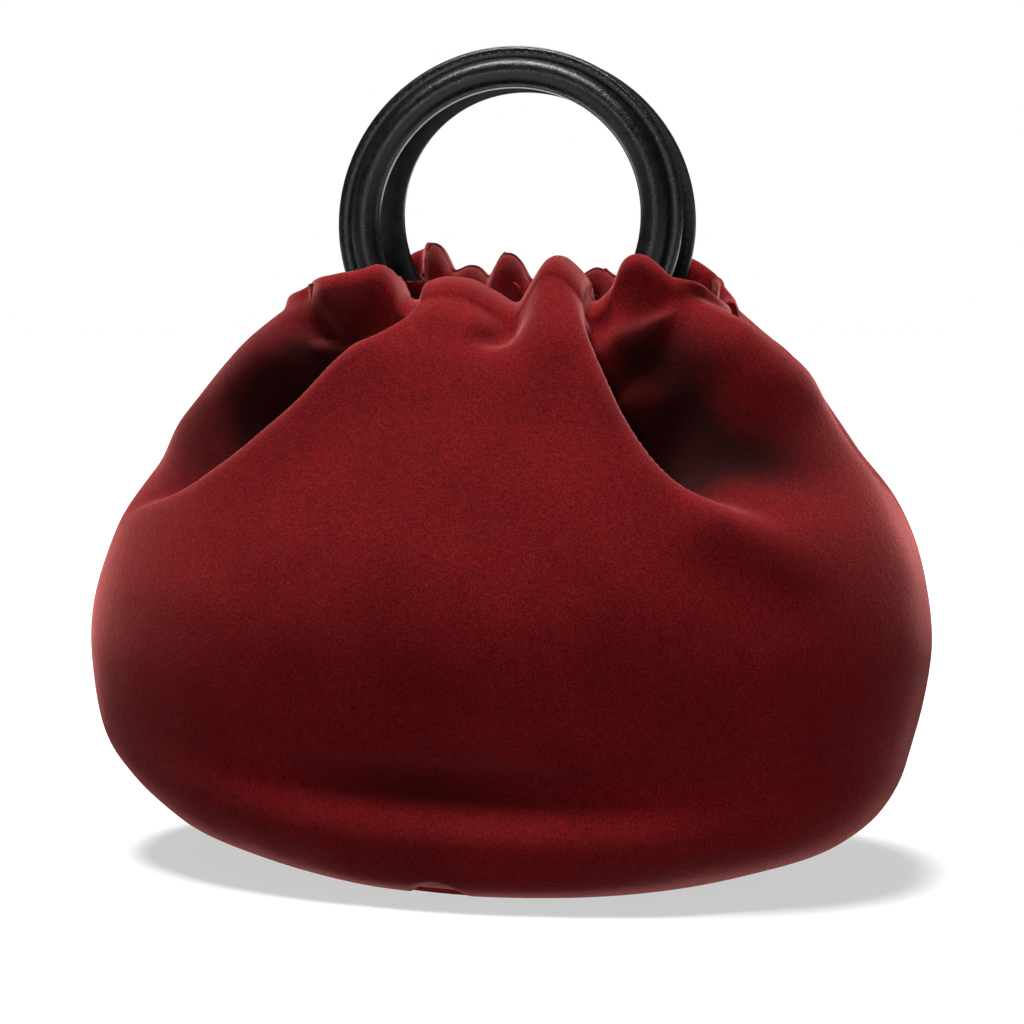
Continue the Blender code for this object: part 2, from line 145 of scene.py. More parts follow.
def cloud(points, size, seed=0.0):
    """Smooth noise, -1 to 1, over an array of points; size is the width of one lump."""
    flat = points.reshape(-1, 3) / size + seed
    out = np.fromiter((noise.noise(Vector(p)) for p in flat), float, len(flat))
    return out.reshape(points.shape[:-1])


def grid_normals(p):
    du = np.gradient(p, axis=1)
    dv = np.gradient(p, axis=0)
    n = np.cross(du, dv)
    return n / np.maximum(np.linalg.norm(n, axis=2, keepdims=True), 1e-12)


def relax(p, times, amount, slide_only, rows=None):
    """Evens a grid out, its outer edges held. slide_only keeps each point on the surface."""
    if rows is not None:
        return np.concatenate([relax(p[:rows], times, amount, slide_only)[: rows - 1], p[rows - 1 :]])
    for _ in range(times):
        middle = (p[:-2, 1:-1] + p[2:, 1:-1] + p[1:-1, :-2] + p[1:-1, 2:]) / 4
        step = middle - p[1:-1, 1:-1]
        if slide_only:
            n = grid_normals(p)[1:-1, 1:-1]
            step -= n * np.sum(step * n, axis=2, keepdims=True)
        p = p.copy()
        p[1:-1, 1:-1] += amount * step
    return p


def shade_smooth(mesh, angle=50.0):
    mesh.shade_smooth()
    if angle < 180:
        mesh.set_sharp_from_angle(angle=math.radians(angle))


def link(name, mesh, material):
    obj = bpy.data.objects.new(name, mesh)
    mesh.materials.append(material)
    bpy.context.scene.collection.objects.link(obj)
    return obj


def ride(obj, body, slot, *nodes):
    """Moves the piece with a body and hides the CAD nodes it replaces; slot is not used."""
    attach(obj, body)
    if nodes:
        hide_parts(*nodes)
    return obj


def mesh_of(name, verts, quads):
    mesh = bpy.data.meshes.new(name)
    verts = np.asarray(verts, np.float32)
    quads = np.asarray(quads, np.int32)
    mesh.vertices.add(len(verts))
    mesh.vertices.foreach_set("co", verts.ravel())
    mesh.loops.add(quads.size)
    mesh.loops.foreach_set("vertex_index", quads.ravel())
    mesh.polygons.add(len(quads))
    mesh.polygons.foreach_set("loop_start", np.arange(len(quads), dtype=np.int32) * 4)
    mesh.update(calc_edges=True)
    mesh.validate()
    return mesh


def grid_quads(rows, cols, offset=0, flip=False, wrap=False):
    r = np.arange(rows - 1)[:, None]
    c = np.arange(cols if wrap else cols - 1)[None, :]
    a = r * cols + c
    b = r * cols + (c + 1) % cols
    quads = np.stack([a, b, b + cols, a + cols], axis=-1).reshape(-1, 4) + offset
    return quads[:, ::-1] if flip else quads


def shell_mesh(name, p, thickness):
    """A closed shell: the grid is its outer face, thickness is measured inwards."""
    rows, cols = p.shape[:2]
    inner = p - grid_normals(p) * thickness
    count = rows * cols
    quads = [grid_quads(rows, cols), grid_quads(rows, cols, count, flip=True)]
    ids = np.arange(count).reshape(rows, cols)
    edges = (ids[0, :], ids[-1, ::-1], ids[::-1, 0], ids[:, -1])
    for edge in edges:
        a, b = edge[:-1], edge[1:]
        quads.append(np.stack([a, a + count, b + count, b], axis=-1))
    verts = np.vstack([p.reshape(-1, 3), inner.reshape(-1, 3)])
    mesh = mesh_of(name, verts, np.vstack(quads))
    shade_smooth(mesh)
    return mesh


# ---------------------------------------------------------------- materials
class Nodes:
    """A short way to write a node material."""

    def __init__(self, name):
        self.material = bpy.data.materials.new(name)
        self.material.use_nodes = True
        self.tree = self.material.node_tree
        self.shader = self.tree.nodes["Principled BSDF"]
        self.coords = self.tree.nodes.new("ShaderNodeTexCoord").outputs["Object"]

    def put(self, kind, inputs=None, **settings):
        node = self.tree.nodes.new(kind)
        for key, value in settings.items():
            setattr(node, key, value)
        for key, value in (inputs or {}).items():
            if isinstance(value, bpy.types.NodeSocket):
                self.tree.links.new(value, node.inputs[key])
            else:
                node.inputs[key].default_value = value
        return node

    def noise(self, scale, detail=2.0, rough=0.5, vector=None):
        return self.put(
            "ShaderNodeTexNoise",
            {
                "Vector": vector or self.coords,
                "Scale": scale,
                "Detail": detail,
                "Roughness": rough,
            },
        ).outputs["Fac"]

    def cells(self, scale, vector=None, feature="F1"):
        return self.put(
            "ShaderNodeTexVoronoi",
            {"Vector": vector or self.coords, "Scale": scale},
            feature=feature,
        ).outputs["Distance"]

    def bands(self, scale, distortion, direction):
        inputs = {
            "Vector": self.coords,
            "Scale": scale,
            "Distortion": distortion,
            "Detail": 2.0,
            "Detail Scale": 3.0,
        }
        return self.put("ShaderNodeTexWave", inputs, bands_direction=direction).outputs["Fac"]

    def ramp(self, value, *stops):
        node = self.put("ShaderNodeValToRGB", {"Fac": value})
        marks = node.color_ramp.elements
        while len(marks) < len(stops):
            marks.new(0.5)
        for mark, (at, colour) in zip(marks, stops):
            mark.position = at
            mark.color = (*colour, 1.0) if len(colour) == 3 else colour
        return node.outputs["Color"]

    def math(self, kind, a, b=0.0):
        return self.put("ShaderNodeMath", {0: a, 1: b}, operation=kind).outputs[0]

    def mix(self, blend, amount, a, b):
        node = self.put("ShaderNodeMix", data_type="RGBA", blend_type=blend)
        for key, value in ((0, amount), (6, a), (7, b)):
            if isinstance(value, bpy.types.NodeSocket):
                self.tree.links.new(value, node.inputs[key])
            else:
                node.inputs[key].default_value = value
        return node.outputs[2]

    def bump(self, height, strength, distance, under=None):
        inputs = {"Height": height, "Strength": strength, "Distance": distance}
        if under is not None:
            inputs["Normal"] = under
        return self.put("ShaderNodeBump", inputs).outputs["Normal"]

    def finish(self, **sockets):
        for key, value in sockets.items():
            socket = self.shader.inputs[key.replace("_", " ")]
            if isinstance(value, bpy.types.NodeSocket):
                self.tree.links.new(value, socket)
            else:
                socket.default_value = value
        return self.material


def suede_material(name, dark, light, worn):
    """Napped suede: cloudy where the nap lies differently, speckled by its fibres, pale on wear, with painted
    shade darkening its deep folds.
    """
    m = Nodes(name)
    clouds = m.noise(26.0, 4.0, 0.62)
    patches = m.noise(9.0, 3.0, 0.55)
    fibres = m.noise(1400.0, 4.0, 0.80)
    lay = m.noise(420.0, 3.0, 0.7)
    tone = m.ramp(clouds, (0.30, dark), (0.70, light))
    broad = m.ramp(patches, (0.30, (0.86, 0.84, 0.84)), (0.72, (1.10, 1.08, 1.08)))
    tone = m.mix("MULTIPLY", 1.0, tone, broad)
    speck = m.ramp(fibres, (0.34, (0.40, 0.34, 0.34)), (0.50, (0.98, 0.98, 0.98)), (0.68, (1.90, 2.3, 2.3)))
    tone = m.mix("MULTIPLY", 1.0, tone, speck)
    mottle = m.ramp(lay, (0.32, (0.86, 0.85, 0.85)), (0.70, (1.13, 1.15, 1.15)))
    tone = m.mix("MULTIPLY", 0.8, tone, mottle)
    # painted shade: the suede's colour is darkened where its deep folds are marked
    painted_shade = m.put("ShaderNodeAttribute", attribute_name="painted_fold_shade").outputs["Fac"]
    tone = m.mix("MULTIPLY", 1.0, tone, m.ramp(painted_shade, (0.0, (1.0, 1.0, 1.0)), (1.0, (0.10, 0.08, 0.08))))
    edge = m.put("ShaderNodeNewGeometry").outputs["Pointiness"]
    rubbed = m.ramp(edge, (0.505, (0.0, 0.0, 0.0)), (0.56, (1.0, 1.0, 1.0)))
    tone = m.mix("MIX", m.math("MULTIPLY", rubbed, 0.35), tone, (*worn, 1.0))
    normal = m.bump(fibres, 0.55, 0.00035)
    normal = m.bump(lay, 0.30, 0.0006, normal)
    return m.finish(
        Base_Color=tone,
        Roughness=0.95,
        Specular_IOR_Level=0.08,
        Sheen_Weight=0.52,
        Sheen_Roughness=0.36,
        Sheen_Tint=(1.0, 0.31, 0.29, 1.0),
        Normal=normal,
    )


def leather_material(name, colour, shine, grain=1100.0, turned=False):
    """Fine-grained smooth leather, unevenly polished; turned has fine creases across a ring's tube."""
    m = Nodes(name)
    pebble = m.cells(grain, feature="SMOOTH_F1")
    creases = m.noise(240.0, 4.0, 0.65)
    polish = m.noise(70.0, 3.0, 0.6)
    tone = m.ramp(
        polish,
        (0.30, tuple(0.75 * c for c in colour)),
        (0.72, tuple(1.45 * c for c in colour)),
    )
    rough = m.ramp(creases, (0.30, (shine - 0.06,) * 3), (0.70, (shine + 0.12,) * 3))
    normal = m.bump(pebble, 0.30, 0.00018)
    normal = m.bump(creases, 0.20, 0.0004, normal)
    if turned:
        place = m.put("ShaderNodeSeparateXYZ", {"Vector": m.coords}).outputs
        up = m.math("SUBTRACT", place["Z"], RING_CENTRE.z)
        angle = m.math("ARCTAN2", place["X"], up)
        squares = (m.math("MULTIPLY", place["X"], place["X"]), m.math("MULTIPLY", up, up))
        radius = m.math("SQRT", m.math("ADD", *squares))
        inputs = {"X": m.math("MULTIPLY", angle, 42.0), "Y": m.math("MULTIPLY", radius, 110.0), "Z": 0.0}
        spot = m.put("ShaderNodeCombineXYZ", inputs).outputs["Vector"]
        puckers = m.noise(3.2, 3.0, 0.62, spot)
        normal = m.bump(puckers, 0.30, 0.0007, normal)
    return m.finish(Base_Color=tone, Roughness=rough, Specular_IOR_Level=0.24, Normal=normal)


def painted_edge_material(name, colour):
    m = Nodes(name)
    drift = m.noise(160.0, 3.0, 0.6)
    tone = m.ramp(drift, (0.3, tuple(0.7 * c for c in colour)), (0.7, tuple(1.5 * c for c in colour)))
    rough = m.ramp(drift, (0.3, (0.22,) * 3), (0.7, (0.36,) * 3))
    return m.finish(Base_Color=tone, Roughness=rough, Normal=m.bump(drift, 0.3, 0.0003))


def canvas_material(name, dark, light):
    """A plain-woven cotton twill."""
    m = Nodes(name)
    warp = m.bands(520.0, 0.6, "DIAGONAL")
    weft = m.bands(420.0, 0.8, "Z")
    weave = m.math("MULTIPLY", warp, weft)
    slub = m.noise(60.0, 4.0, 0.6)
    tone = m.ramp(weave, (0.0, dark), (0.8, light))
    tone = m.mix("MULTIPLY", 0.7, tone, m.ramp(slub, (0.3, (0.8, 0.78, 0.76)), (0.7, (1.1, 1.1, 1.1))))
    return m.finish(
        Base_Color=tone,
        Roughness=0.88,
        Specular_IOR_Level=0.2,
        Sheen_Weight=0.15,
        Normal=m.bump(weave, 0.5, 0.0003),
    )


def thread_material(name, colour):
    m = Nodes(name)
    twist = m.noise(2600.0, 2.0, 0.6)
    tone = m.ramp(twist, (0.3, tuple(0.6 * c for c in colour)), (0.7, tuple(1.5 * c for c in colour)))
    return m.finish(Base_Color=tone, Roughness=0.55, Normal=m.bump(twist, 0.5, 0.0001))


def metal_material(name, colour):
    m = Nodes(name)
    scuffs = m.noise(380.0, 4.0, 0.7)
    tone = m.ramp(scuffs, (0.3, tuple(0.8 * c for c in colour)), (0.7, colour))
    rough = m.ramp(scuffs, (0.3, (0.18,) * 3), (0.75, (0.38,) * 3))
    return m.finish(Base_Color=tone, Metallic=1.0, Roughness=rough, Normal=m.bump(scuffs, 0.1, 0.0001))


def board_material(name, dark, light):
    m = Nodes(name)
    pulp = m.noise(220.0, 5.0, 0.7)
    tone = m.ramp(pulp, (0.3, dark), (0.7, light))
    return m.finish(Base_Color=tone, Roughness=0.85, Normal=m.bump(pulp, 0.4, 0.0004))


SUEDE = suede_material("red_suede", (0.108, 0.0022, 0.0034), (0.138, 0.0038, 0.0054), (0.23, 0.026, 0.026))
BLACK_LEATHER = leather_material("black_leather", (0.0030, 0.0030, 0.0032), 0.34)
RING_LEATHER = leather_material("ring_leather", (0.0030, 0.0030, 0.0032), 0.30, turned=True)
EDGE_PAINT = painted_edge_material("edge_paint", (0.006, 0.006, 0.006))
THREAD = thread_material("black_thread", (0.0045, 0.0045, 0.0048))
RED_THREAD = thread_material("red_thread", (0.110, 0.012, 0.014))
CANVAS = canvas_material("lining_canvas", (0.200, 0.150, 0.100), (0.380, 0.300, 0.210))
METAL = metal_material("snap_metal", (0.62, 0.55, 0.42))
BOARD = board_material("fibreboard", (0.20, 0.15, 0.10), (0.34, 0.27, 0.19))
CORE = board_material("handle_core", (0.36, 0.34, 0.31), (0.50, 0.48, 0.44))


# ---------------------------------------------------------------- the body's shape
def section_values(height):
    table = np.array(SECTIONS)
    line = smooth_line(table, 14)
    return np.stack([np.interp(height, line[:, 0], line[:, k]) for k in range(1, 6)], -1)


def base_wall(heights, side):
    """The unfolded wall, rows by columns, from the left seam to the right. side is -1 in front."""
    values = section_values(heights)
    angle = np.linspace(0.0, math.pi, 1600)
    c, s = np.cos(angle), np.sin(angle)
    share = np.linspace(0.0, 1.0, COLUMNS)
    out = np.zeros((len(heights), COLUMNS, 3))
    around = np.zeros((len(heights), COLUMNS))
    for k, (left, right, front, back, square) in enumerate(values):
        depth = front if side < 0 else back
        x = -np.sign(c) * np.abs(c) ** (2 / square) * np.where(c > 0, left, right)
        y = np.abs(s) ** (2 / square) * depth
        run = np.concatenate([[0.0], np.cumsum(np.hypot(np.diff(x), np.diff(y)))])
        at = share * run[-1]
        out[k, :, 0] = np.interp(at, run, x)
        out[k, :, 1] = side * (np.interp(at, run, y) + SEAM_GAP)
        out[k, :, 2] = heights[k]
        around[k] = at - np.interp(0.0, x, run)
    return out, around


class Folds:
    """Adds up folds over a wall laid flat: how far each point stands out of it, and the painted shade in its
    deep folds.
    """

    def __init__(self, wall, around):
        self.wall = wall
        self.u = around
        self.z = wall[..., 2]
        self.out = np.zeros(around.shape)
        self.slide_u = np.zeros(around.shape)
        self.slide_z = np.zeros(around.shape)
        self.painted_shade = np.zeros(around.shape)  # painted shade: 1 where a fold is so deep that it would lie in shadow; it darkens the suede's colour

    def lay_flat(self, points):
        """Turns (x, z) seen from the front into (way round, z)."""
        heights = self.z[:, 0]
        flat = []
        for x, z in points:
            k = int(np.clip(np.searchsorted(heights, z), 1, len(heights) - 1))
            t = (z - heights[k - 1]) / (heights[k] - heights[k - 1])
            t = min(max(t, 0.0), 1.0)
            low = np.interp(x, self.wall[k - 1, :, 0], self.u[k - 1])
            high = np.interp(x, self.wall[k, :, 0], self.u[k])
            flat.append((low + (high - low) * t, z))
        return flat

    def from_line(self, points):
        """Signed distance from a line (positive to its right), the share along it, and which way is right."""
        line = smooth_line(self.lay_flat(points), 10)
        best = np.full(self.u.shape, 1e9)
        signed = np.zeros(self.u.shape)
        along = np.zeros(self.u.shape)
        right_u = np.zeros(self.u.shape)
        right_z = np.zeros(self.u.shape)
        steps = len(line) - 1
        for k in range(steps):
            (ax, az), (bx, bz) = line[k], line[k + 1]
            dx, dz = bx - ax, bz - az
            size = dx * dx + dz * dz
            t = np.clip(((self.u - ax) * dx + (self.z - az) * dz) / size, 0.0, 1.0)
            ox, oz = self.u - ax - t * dx, self.z - az - t * dz
            distance = np.hypot(ox, oz)
            nearer = distance < best
            best = np.where(nearer, distance, best)
            signed = np.where(nearer, np.sign(dz * ox - dx * oz) * distance, signed)
            along = np.where(nearer, (k + t) / steps, along)
            right_u = np.where(nearer, dz / math.sqrt(size), right_u)
            right_z = np.where(nearer, -dx / math.sqrt(size), right_z)
        return signed, along, right_u, right_z

    def fade(self, along, start, end):
        """start and end are (strength there, share of the line until it is full)."""
        rise = start[0] + (1 - start[0]) * smooth_step(0.0, start[1], along)
        fall = end[0] + (1 - end[0]) * smooth_step(0.0, end[1], 1 - along)
        return rise * fall

    def ridge(self, points, height, width, start=(0.0, 0.25), end=(0.0, 0.25)):
        signed, along, _, _ = self.from_line(points)
        self.out += height * np.exp(-((signed / width) ** 2)) * self.fade(along, start, end)

    def edge(self, points, lift, lift_width, drop, reach, cliff, under, start, end):
        """A fold lying over its neighbour: raised on the line's right; on its left the cloth
        slopes down over reach and runs on under the fold, as far as under says."""
        signed, along, right_u, right_z = self.from_line(points)
        over = smooth_step(-cliff / 2, cliff / 2, signed)
        raised = lift * np.exp(-((signed / lift_width) ** 2))
        dropped = -drop * np.clip(1 + np.minimum(signed, 0) / reach, 0, 1) ** 1.5
        amount = self.fade(along, start, end)
        self.out += (over * raised + (1 - over) * dropped) * amount
        # painted shade: the cloth sloping in under the fold is darkened in the suede's colour
        self.painted_shade += 0.55 * amount * (1 - over) * np.clip(1 + 1.6 * np.minimum(signed, 0) / reach, 0, 1)
        tuck = under * amount * (1 - over) * np.clip(1 + np.minimum(signed, 0) / reach, 0, 1) ** 2
        self.slide_u += tuck * right_u
        self.slide_z += tuck * right_z

    def paint_fold_shade(self, points, strength, width, start=(0.0, 0.3), end=(0.0, 0.3)):
        # painted shade along the line, darkening the suede's colour
        signed, along, _, _ = self.from_line(points)
        self.painted_shade += strength * np.exp(-((signed / width) ** 2)) * self.fade(along, start, end)

    def bump(self, point, height, width):
        (u, z), = self.lay_flat([point])
        self.out += height * np.exp(-(((self.u - u) / width) ** 2) - ((self.z - z) / width) ** 2)


def front_folds(f):
    # the big middle fold, lying over the pleat on its left
    f.edge(
        (
            (-0.154, 0.1350), (-0.1418, 0.1430), (-0.1204, 0.1533), (-0.1062, 0.1612), (-0.0891, 0.1734),
            (-0.0733, 0.1875), (-0.0623, 0.1992), (-0.0519, 0.2091), (-0.0419, 0.2179), (-0.0350, 0.2250),
        ),
        0.0035, 0.020, 0.0330, 0.048, 0.0060, 0.0060, (0.0, 0.46), (0.25, 0.26),
    )
    # and over the hollow on its right
    f.edge(
        (
            (0.0350, 0.2265), (0.0375, 0.2195), (0.0415, 0.2098), (0.0466, 0.1980), (0.0528, 0.1858),
            (0.0600, 0.1752), (0.0690, 0.1645), (0.0810, 0.1552), (0.0970, 0.1465), (0.1180, 0.1360),
        ),
        0.0030, 0.022, 0.0380, 0.050, 0.0066, 0.0110, (0.20, 0.22), (0.0, 0.44),
    )
    # the hollow's floor, its lit lump, and the slope below it
    f.ridge(
        ((0.0480, 0.2190), (0.0590, 0.2130), (0.0725, 0.2030), (0.0805, 0.1905), (0.0780, 0.1770)),
        -0.0040, 0.0095, (0.2, 0.3), (0.5, 0.2),
    )
    f.ridge(
        ((0.0640, 0.1790), (0.0780, 0.1745), (0.0949, 0.1700), (0.1166, 0.1605), (0.1400, 0.1500)),
        -0.0060, 0.0110, (0.5, 0.2), (0.0, 0.45),
    )
    # painted shade along the hollow's floor and the slope below it
    f.paint_fold_shade(
        ((0.0480, 0.2190), (0.0600, 0.2125), (0.0735, 0.2030), (0.0800, 0.1905), (0.0760, 0.1770)),
        0.85, 0.0120, (0.0, 0.3), (0.8, 0.2),
    )
    f.paint_fold_shade(
        ((0.0600, 0.1830), (0.0764, 0.1748), (0.0949, 0.1708), (0.1166, 0.1618), (0.1400, 0.1510)),
        1.0, 0.0120, (0.7, 0.2), (0.0, 0.45),
    )
    f.bump((0.0570, 0.1965), 0.0040, 0.0100)
    f.ridge(
        ((0.0700, 0.1560), (0.0850, 0.1470), (0.1000, 0.1370), (0.1200, 0.1240), (0.1380, 0.1090)),
        0.0050, 0.0130, (0.0, 0.25), (0.0, 0.50),
    )
    f.ridge(
        ((0.072, 0.2200), (0.092, 0.2080), (0.109, 0.1910), (0.128, 0.1720), (0.145, 0.1560)),
        0.0060, 0.0130,
    )
    # painted shade on the slope under the left pleat
    f.paint_fold_shade(((-0.0620, 0.2110), (-0.0797, 0.1968), (-0.0956, 0.1815), (-0.1120, 0.1680)), 0.70, 0.0110)
    f.paint_fold_shade(
        ((-0.0680, 0.2240), (-0.0860, 0.2080), (-0.1050, 0.1900), (-0.1240, 0.1710), (-0.1420, 0.1540)),
        0.66, 0.0220, (0.9, 0.2), (0.0, 0.3),
    )
    # the pleat at the upper left
    f.ridge(
        ((-0.078, 0.2160), (-0.094, 0.2040), (-0.110, 0.1900), (-0.126, 0.1740), (-0.140, 0.1600)),
        0.0065, 0.0100,
    )
    # where the rim dips, the middle fold has a soft dimple between two swells
    f.ridge(((0.0070, 0.2230), (0.0010, 0.2150), (-0.0120, 0.2120)), -0.0055, 0.0050, (1.0, 0.1), (0.0, 0.6))
    f.ridge(((0.0205, 0.2330), (0.0225, 0.2150), (0.0240, 0.1900)), 0.0030, 0.0110, (0.6, 0.1), (0.0, 0.6))
    f.ridge(((-0.0300, 0.2250), (-0.0150, 0.2230), (0.0000, 0.2150)), 0.0025, 0.0080)
    # the belly sags over a long hollow above the base
    f.ridge(
        ((-0.125, 0.0530), (-0.070, 0.0485), (0.000, 0.0460), (0.060, 0.0445), (0.120, 0.0425)),
        -0.0090, 0.0080, (0.0, 0.55), (0.0, 0.45),
    )
    # painted shade in the hollow under the belly
    f.paint_fold_shade(
        ((-0.100, 0.0500), (-0.050, 0.0462), (0.010, 0.0440), (0.070, 0.0425)),
        0.65, 0.0065, (0.0, 0.5), (0.0, 0.5),
    )
    f.ridge(((-0.110, 0.0330), (-0.040, 0.0290), (0.040, 0.0270), (0.110, 0.0280)), 0.0020, 0.0090)


def front_creases(f):
    """Small creases, made after the suede is kept clear of the ring."""
    f.ridge(
        (
            (-0.0830, 0.2195), (-0.0706, 0.2185), (-0.0623, 0.2197),
            (-0.0526, 0.2219), (-0.0429, 0.2237), (-0.0361, 0.2262),
        ),
        -0.0085, 0.0032, (0.2, 0.2), (0.6, 0.2),
    )
    f.ridge(((-0.0800, 0.2130), (-0.0701, 0.2143), (-0.0584, 0.2170), (-0.0468, 0.2205)), 0.0040, 0.0036)
    f.ridge(((-0.0790, 0.2300), (-0.0640, 0.2300), (-0.0500, 0.2310), (-0.0400, 0.2310)), 0.0030, 0.0050)
    f.ridge(
        ((0.0386, 0.2285), (0.0479, 0.2262), (0.0571, 0.2246), (0.0645, 0.2256), (0.0720, 0.2310)),
        -0.0080, 0.0032, (0.6, 0.2), (0.2, 0.3),
    )
    f.ridge(((0.0389, 0.2240), (0.0482, 0.2215), (0.0593, 0.2195), (0.0710, 0.2215)), 0.0035, 0.0036)
    f.ridge(((0.0460, 0.2340), (0.0560, 0.2340), (0.0680, 0.2350)), 0.0030, 0.0050)


def back_folds(f):
    f.edge(
        ((-0.128, 0.1450), (-0.104, 0.1620), (-0.080, 0.1850), (-0.060, 0.2080), (-0.050, 0.2230)),
        0.0035, 0.018, 0.0110, 0.030, 0.0050, 0.0030, (0.0, 0.35), (0.5, 0.15),
    )
    f.edge(
        ((-0.012, 0.2240), (-0.020, 0.2000), (-0.034, 0.1700), (-0.054, 0.1380)),
        0.0030, 0.016, 0.0085, 0.024, 0.0060, 0.0025, (0.5, 0.15), (0.0, 0.55),
    )
    f.edge(
        ((0.066, 0.1350), (0.046, 0.1690), (0.034, 0.2000), (0.030, 0.2240)),
        0.0030, 0.018, 0.0100, 0.028, 0.0060, 0.0030, (0.0, 0.50), (0.5, 0.15),
    )
    f.ridge(((0.062, 0.2160), (0.080, 0.1960), (0.100, 0.1760), (0.128, 0.1520)), -0.0070, 0.0085)
    f.ridge(((0.090, 0.2110), (0.110, 0.1870), (0.134, 0.1620)), 0.0035, 0.0085)
    f.ridge(((-0.085, 0.2110), (-0.104, 0.1880), (-0.126, 0.1640)), 0.0035, 0.0085)
    f.ridge(((-0.050, 0.2160), (-0.040, 0.1930), (-0.044, 0.1650)), 0.0030, 0.0100)
    f.ridge(
        ((-0.112, 0.0480), (-0.050, 0.0440), (0.010, 0.0470), (0.064, 0.0520), (0.114, 0.0500)),
        -0.0065, 0.0085, (0.0, 0.5), (0.0, 0.5),
    )
    f.ridge(((-0.100, 0.0270), (-0.020, 0.0260), (0.100, 0.0300)), 0.0020, 0.0090)


def back_creases(f):
    f.ridge(((-0.0760, 0.2180), (-0.0600, 0.2230), (-0.0440, 0.2200)), -0.0040, 0.0030)
    f.ridge(((0.0400, 0.2210), (0.0560, 0.2230), (0.0740, 0.2170)), -0.0040, 0.0030)
    for x, low in ((-0.024, 0.203), (-0.003, 0.208), (0.016, 0.201)):
        f.ridge(((x, 0.2330), (x * 1.15, 0.2200), (x * 1.3, low)), -0.0035, 0.0032, (1.0, 0.1), (0.0, 0.6))


def side_folds(f):
    """Soft pleats across both side seams, the same for both halves where they meet."""
    width = f.u.max(axis=1, keepdims=True)
    for sign, low, high in ((-1, 0.150, 0.212), (1, 0.150, 0.236)):
        from_seam = np.abs(sign * f.u - np.where(sign > 0, width, -f.u.min(axis=1, keepdims=True)))
        window = smooth_step(low, low + 0.030, f.z) * (1 - smooth_step(high - 0.018, high, f.z))
        f.out += -0.0095 * window * np.exp(-((from_seam / 0.0110) ** 2))


# Where the front's lower edge is lifted off the floor in a small arch.
ARCH_CENTRE = -0.0165
ARCH_HALF_WIDTH = 0.0120
ARCH_HEIGHT = 0.0088
ARCH_DEPTH = 0.0085


def arch_dent(p):
    """Pushes the points of the front's lifted lower edge inwards, into shade, and returns where, for painted
    shade in the suede's colour there.
    """
    top = ARCH_HEIGHT * np.clip(1 - ((p[..., 0] - ARCH_CENTRE) / ARCH_HALF_WIDTH) ** 2, 0, 1) ** 0.6
    inside = 1 - smooth_step(top - 0.0012, top + 0.0012, p[..., 2])
    near = smooth_step(0.0, 0.0030, top) * smooth_step(0.045, 0.055, -p[..., 1])
    p[..., 1] += ARCH_DEPTH * inside * near
    return p, inside * near


FRONT_RIM = {
    "x": (-0.090, -0.083, -0.076, -0.068, -0.061, -0.049, -0.0420, -0.0385, -0.034, -0.028, -0.020,
          -0.011, -0.003, 0.006, 0.012, 0.0176, 0.023, 0.029, 0.034, 0.038, 0.044, 0.0475, 0.056,
          0.065, 0.073, 0.082, 0.090),
    "z": (0.2215, 0.2270, 0.2320, 0.2350, 0.2375, 0.2385, 0.2355, 0.2285, 0.2272, 0.2282, 0.2290,
          0.2282, 0.2245, 0.2205, 0.2275, 0.2345, 0.2350, 0.2310, 0.2260, 0.2280, 0.2335, 0.2405, 0.2420,
          0.2375, 0.2325, 0.2225, 0.2170),
}
BACK_RIM = {
    "x": (-0.090, -0.082, -0.072, -0.062, -0.0575, -0.0535, -0.0500, -0.0455, -0.0410, -0.0375,
          -0.0350, -0.0325, -0.0290, -0.0250, -0.0215, -0.0180, -0.0150, -0.0110, -0.0070, -0.0030,
          0.0000, 0.0060, 0.0120, 0.0180, 0.0260, 0.0340, 0.0410, 0.0500, 0.0620, 0.0720, 0.0820, 0.0900),
    "z": (0.2190, 0.2240, 0.2290, 0.2335, 0.2365, 0.2405, 0.2425, 0.2438, 0.2438, 0.2425,
          0.2385, 0.2330, 0.2335, 0.2360, 0.2345, 0.2300, 0.2340, 0.2395, 0.2405, 0.2370,
          0.2300, 0.2300, 0.2360, 0.2310, 0.2350, 0.2300, 0.2325, 0.2390, 0.2380, 0.2320, 0.2235, 0.2170),
}
RIM_JOIN = 0.56  # how far round the rim its inner piece begins
RIM_INNER_MIDDLE = 0.0165  # from the middle plane, where the rim turns down between a ring's legs
RIM_INNER_EARS = 0.0348  # in front of a ring's legs


def ring_clearance(x, z):
    """How far in front of the middle plane the suede must stay to clear the ring and its sleeve."""
    radius = np.hypot(x, z - RING_CENTRE.z)
    over = smooth_step(0.0430, 0.0480, radius) * (1 - smooth_step(0.0700, 0.1000, radius))
    inside = (1 - smooth_step(0.0430, 0.0480, radius)) * (1 - smooth_step(0.2180, 0.2260, z))
    sleeve = 0.0415 - 0.0035 * smooth_step(0.2150, 0.2280, z)
    return sleeve * np.maximum(over, inside)


RIM_RISE = 0.0075  # how high the turned rim stands, between the ring's legs and at the ears
EAR_RISE = 0.0055
RIM_PIECE_REACH = 0.0405
RIM_BELOW = 0.0008  # the inner rim piece starts this far below the outer one
HEM_STEP = 0.0014  # how far each row of the hem hangs below the last
EAR_HEM_STEP = 0.0016


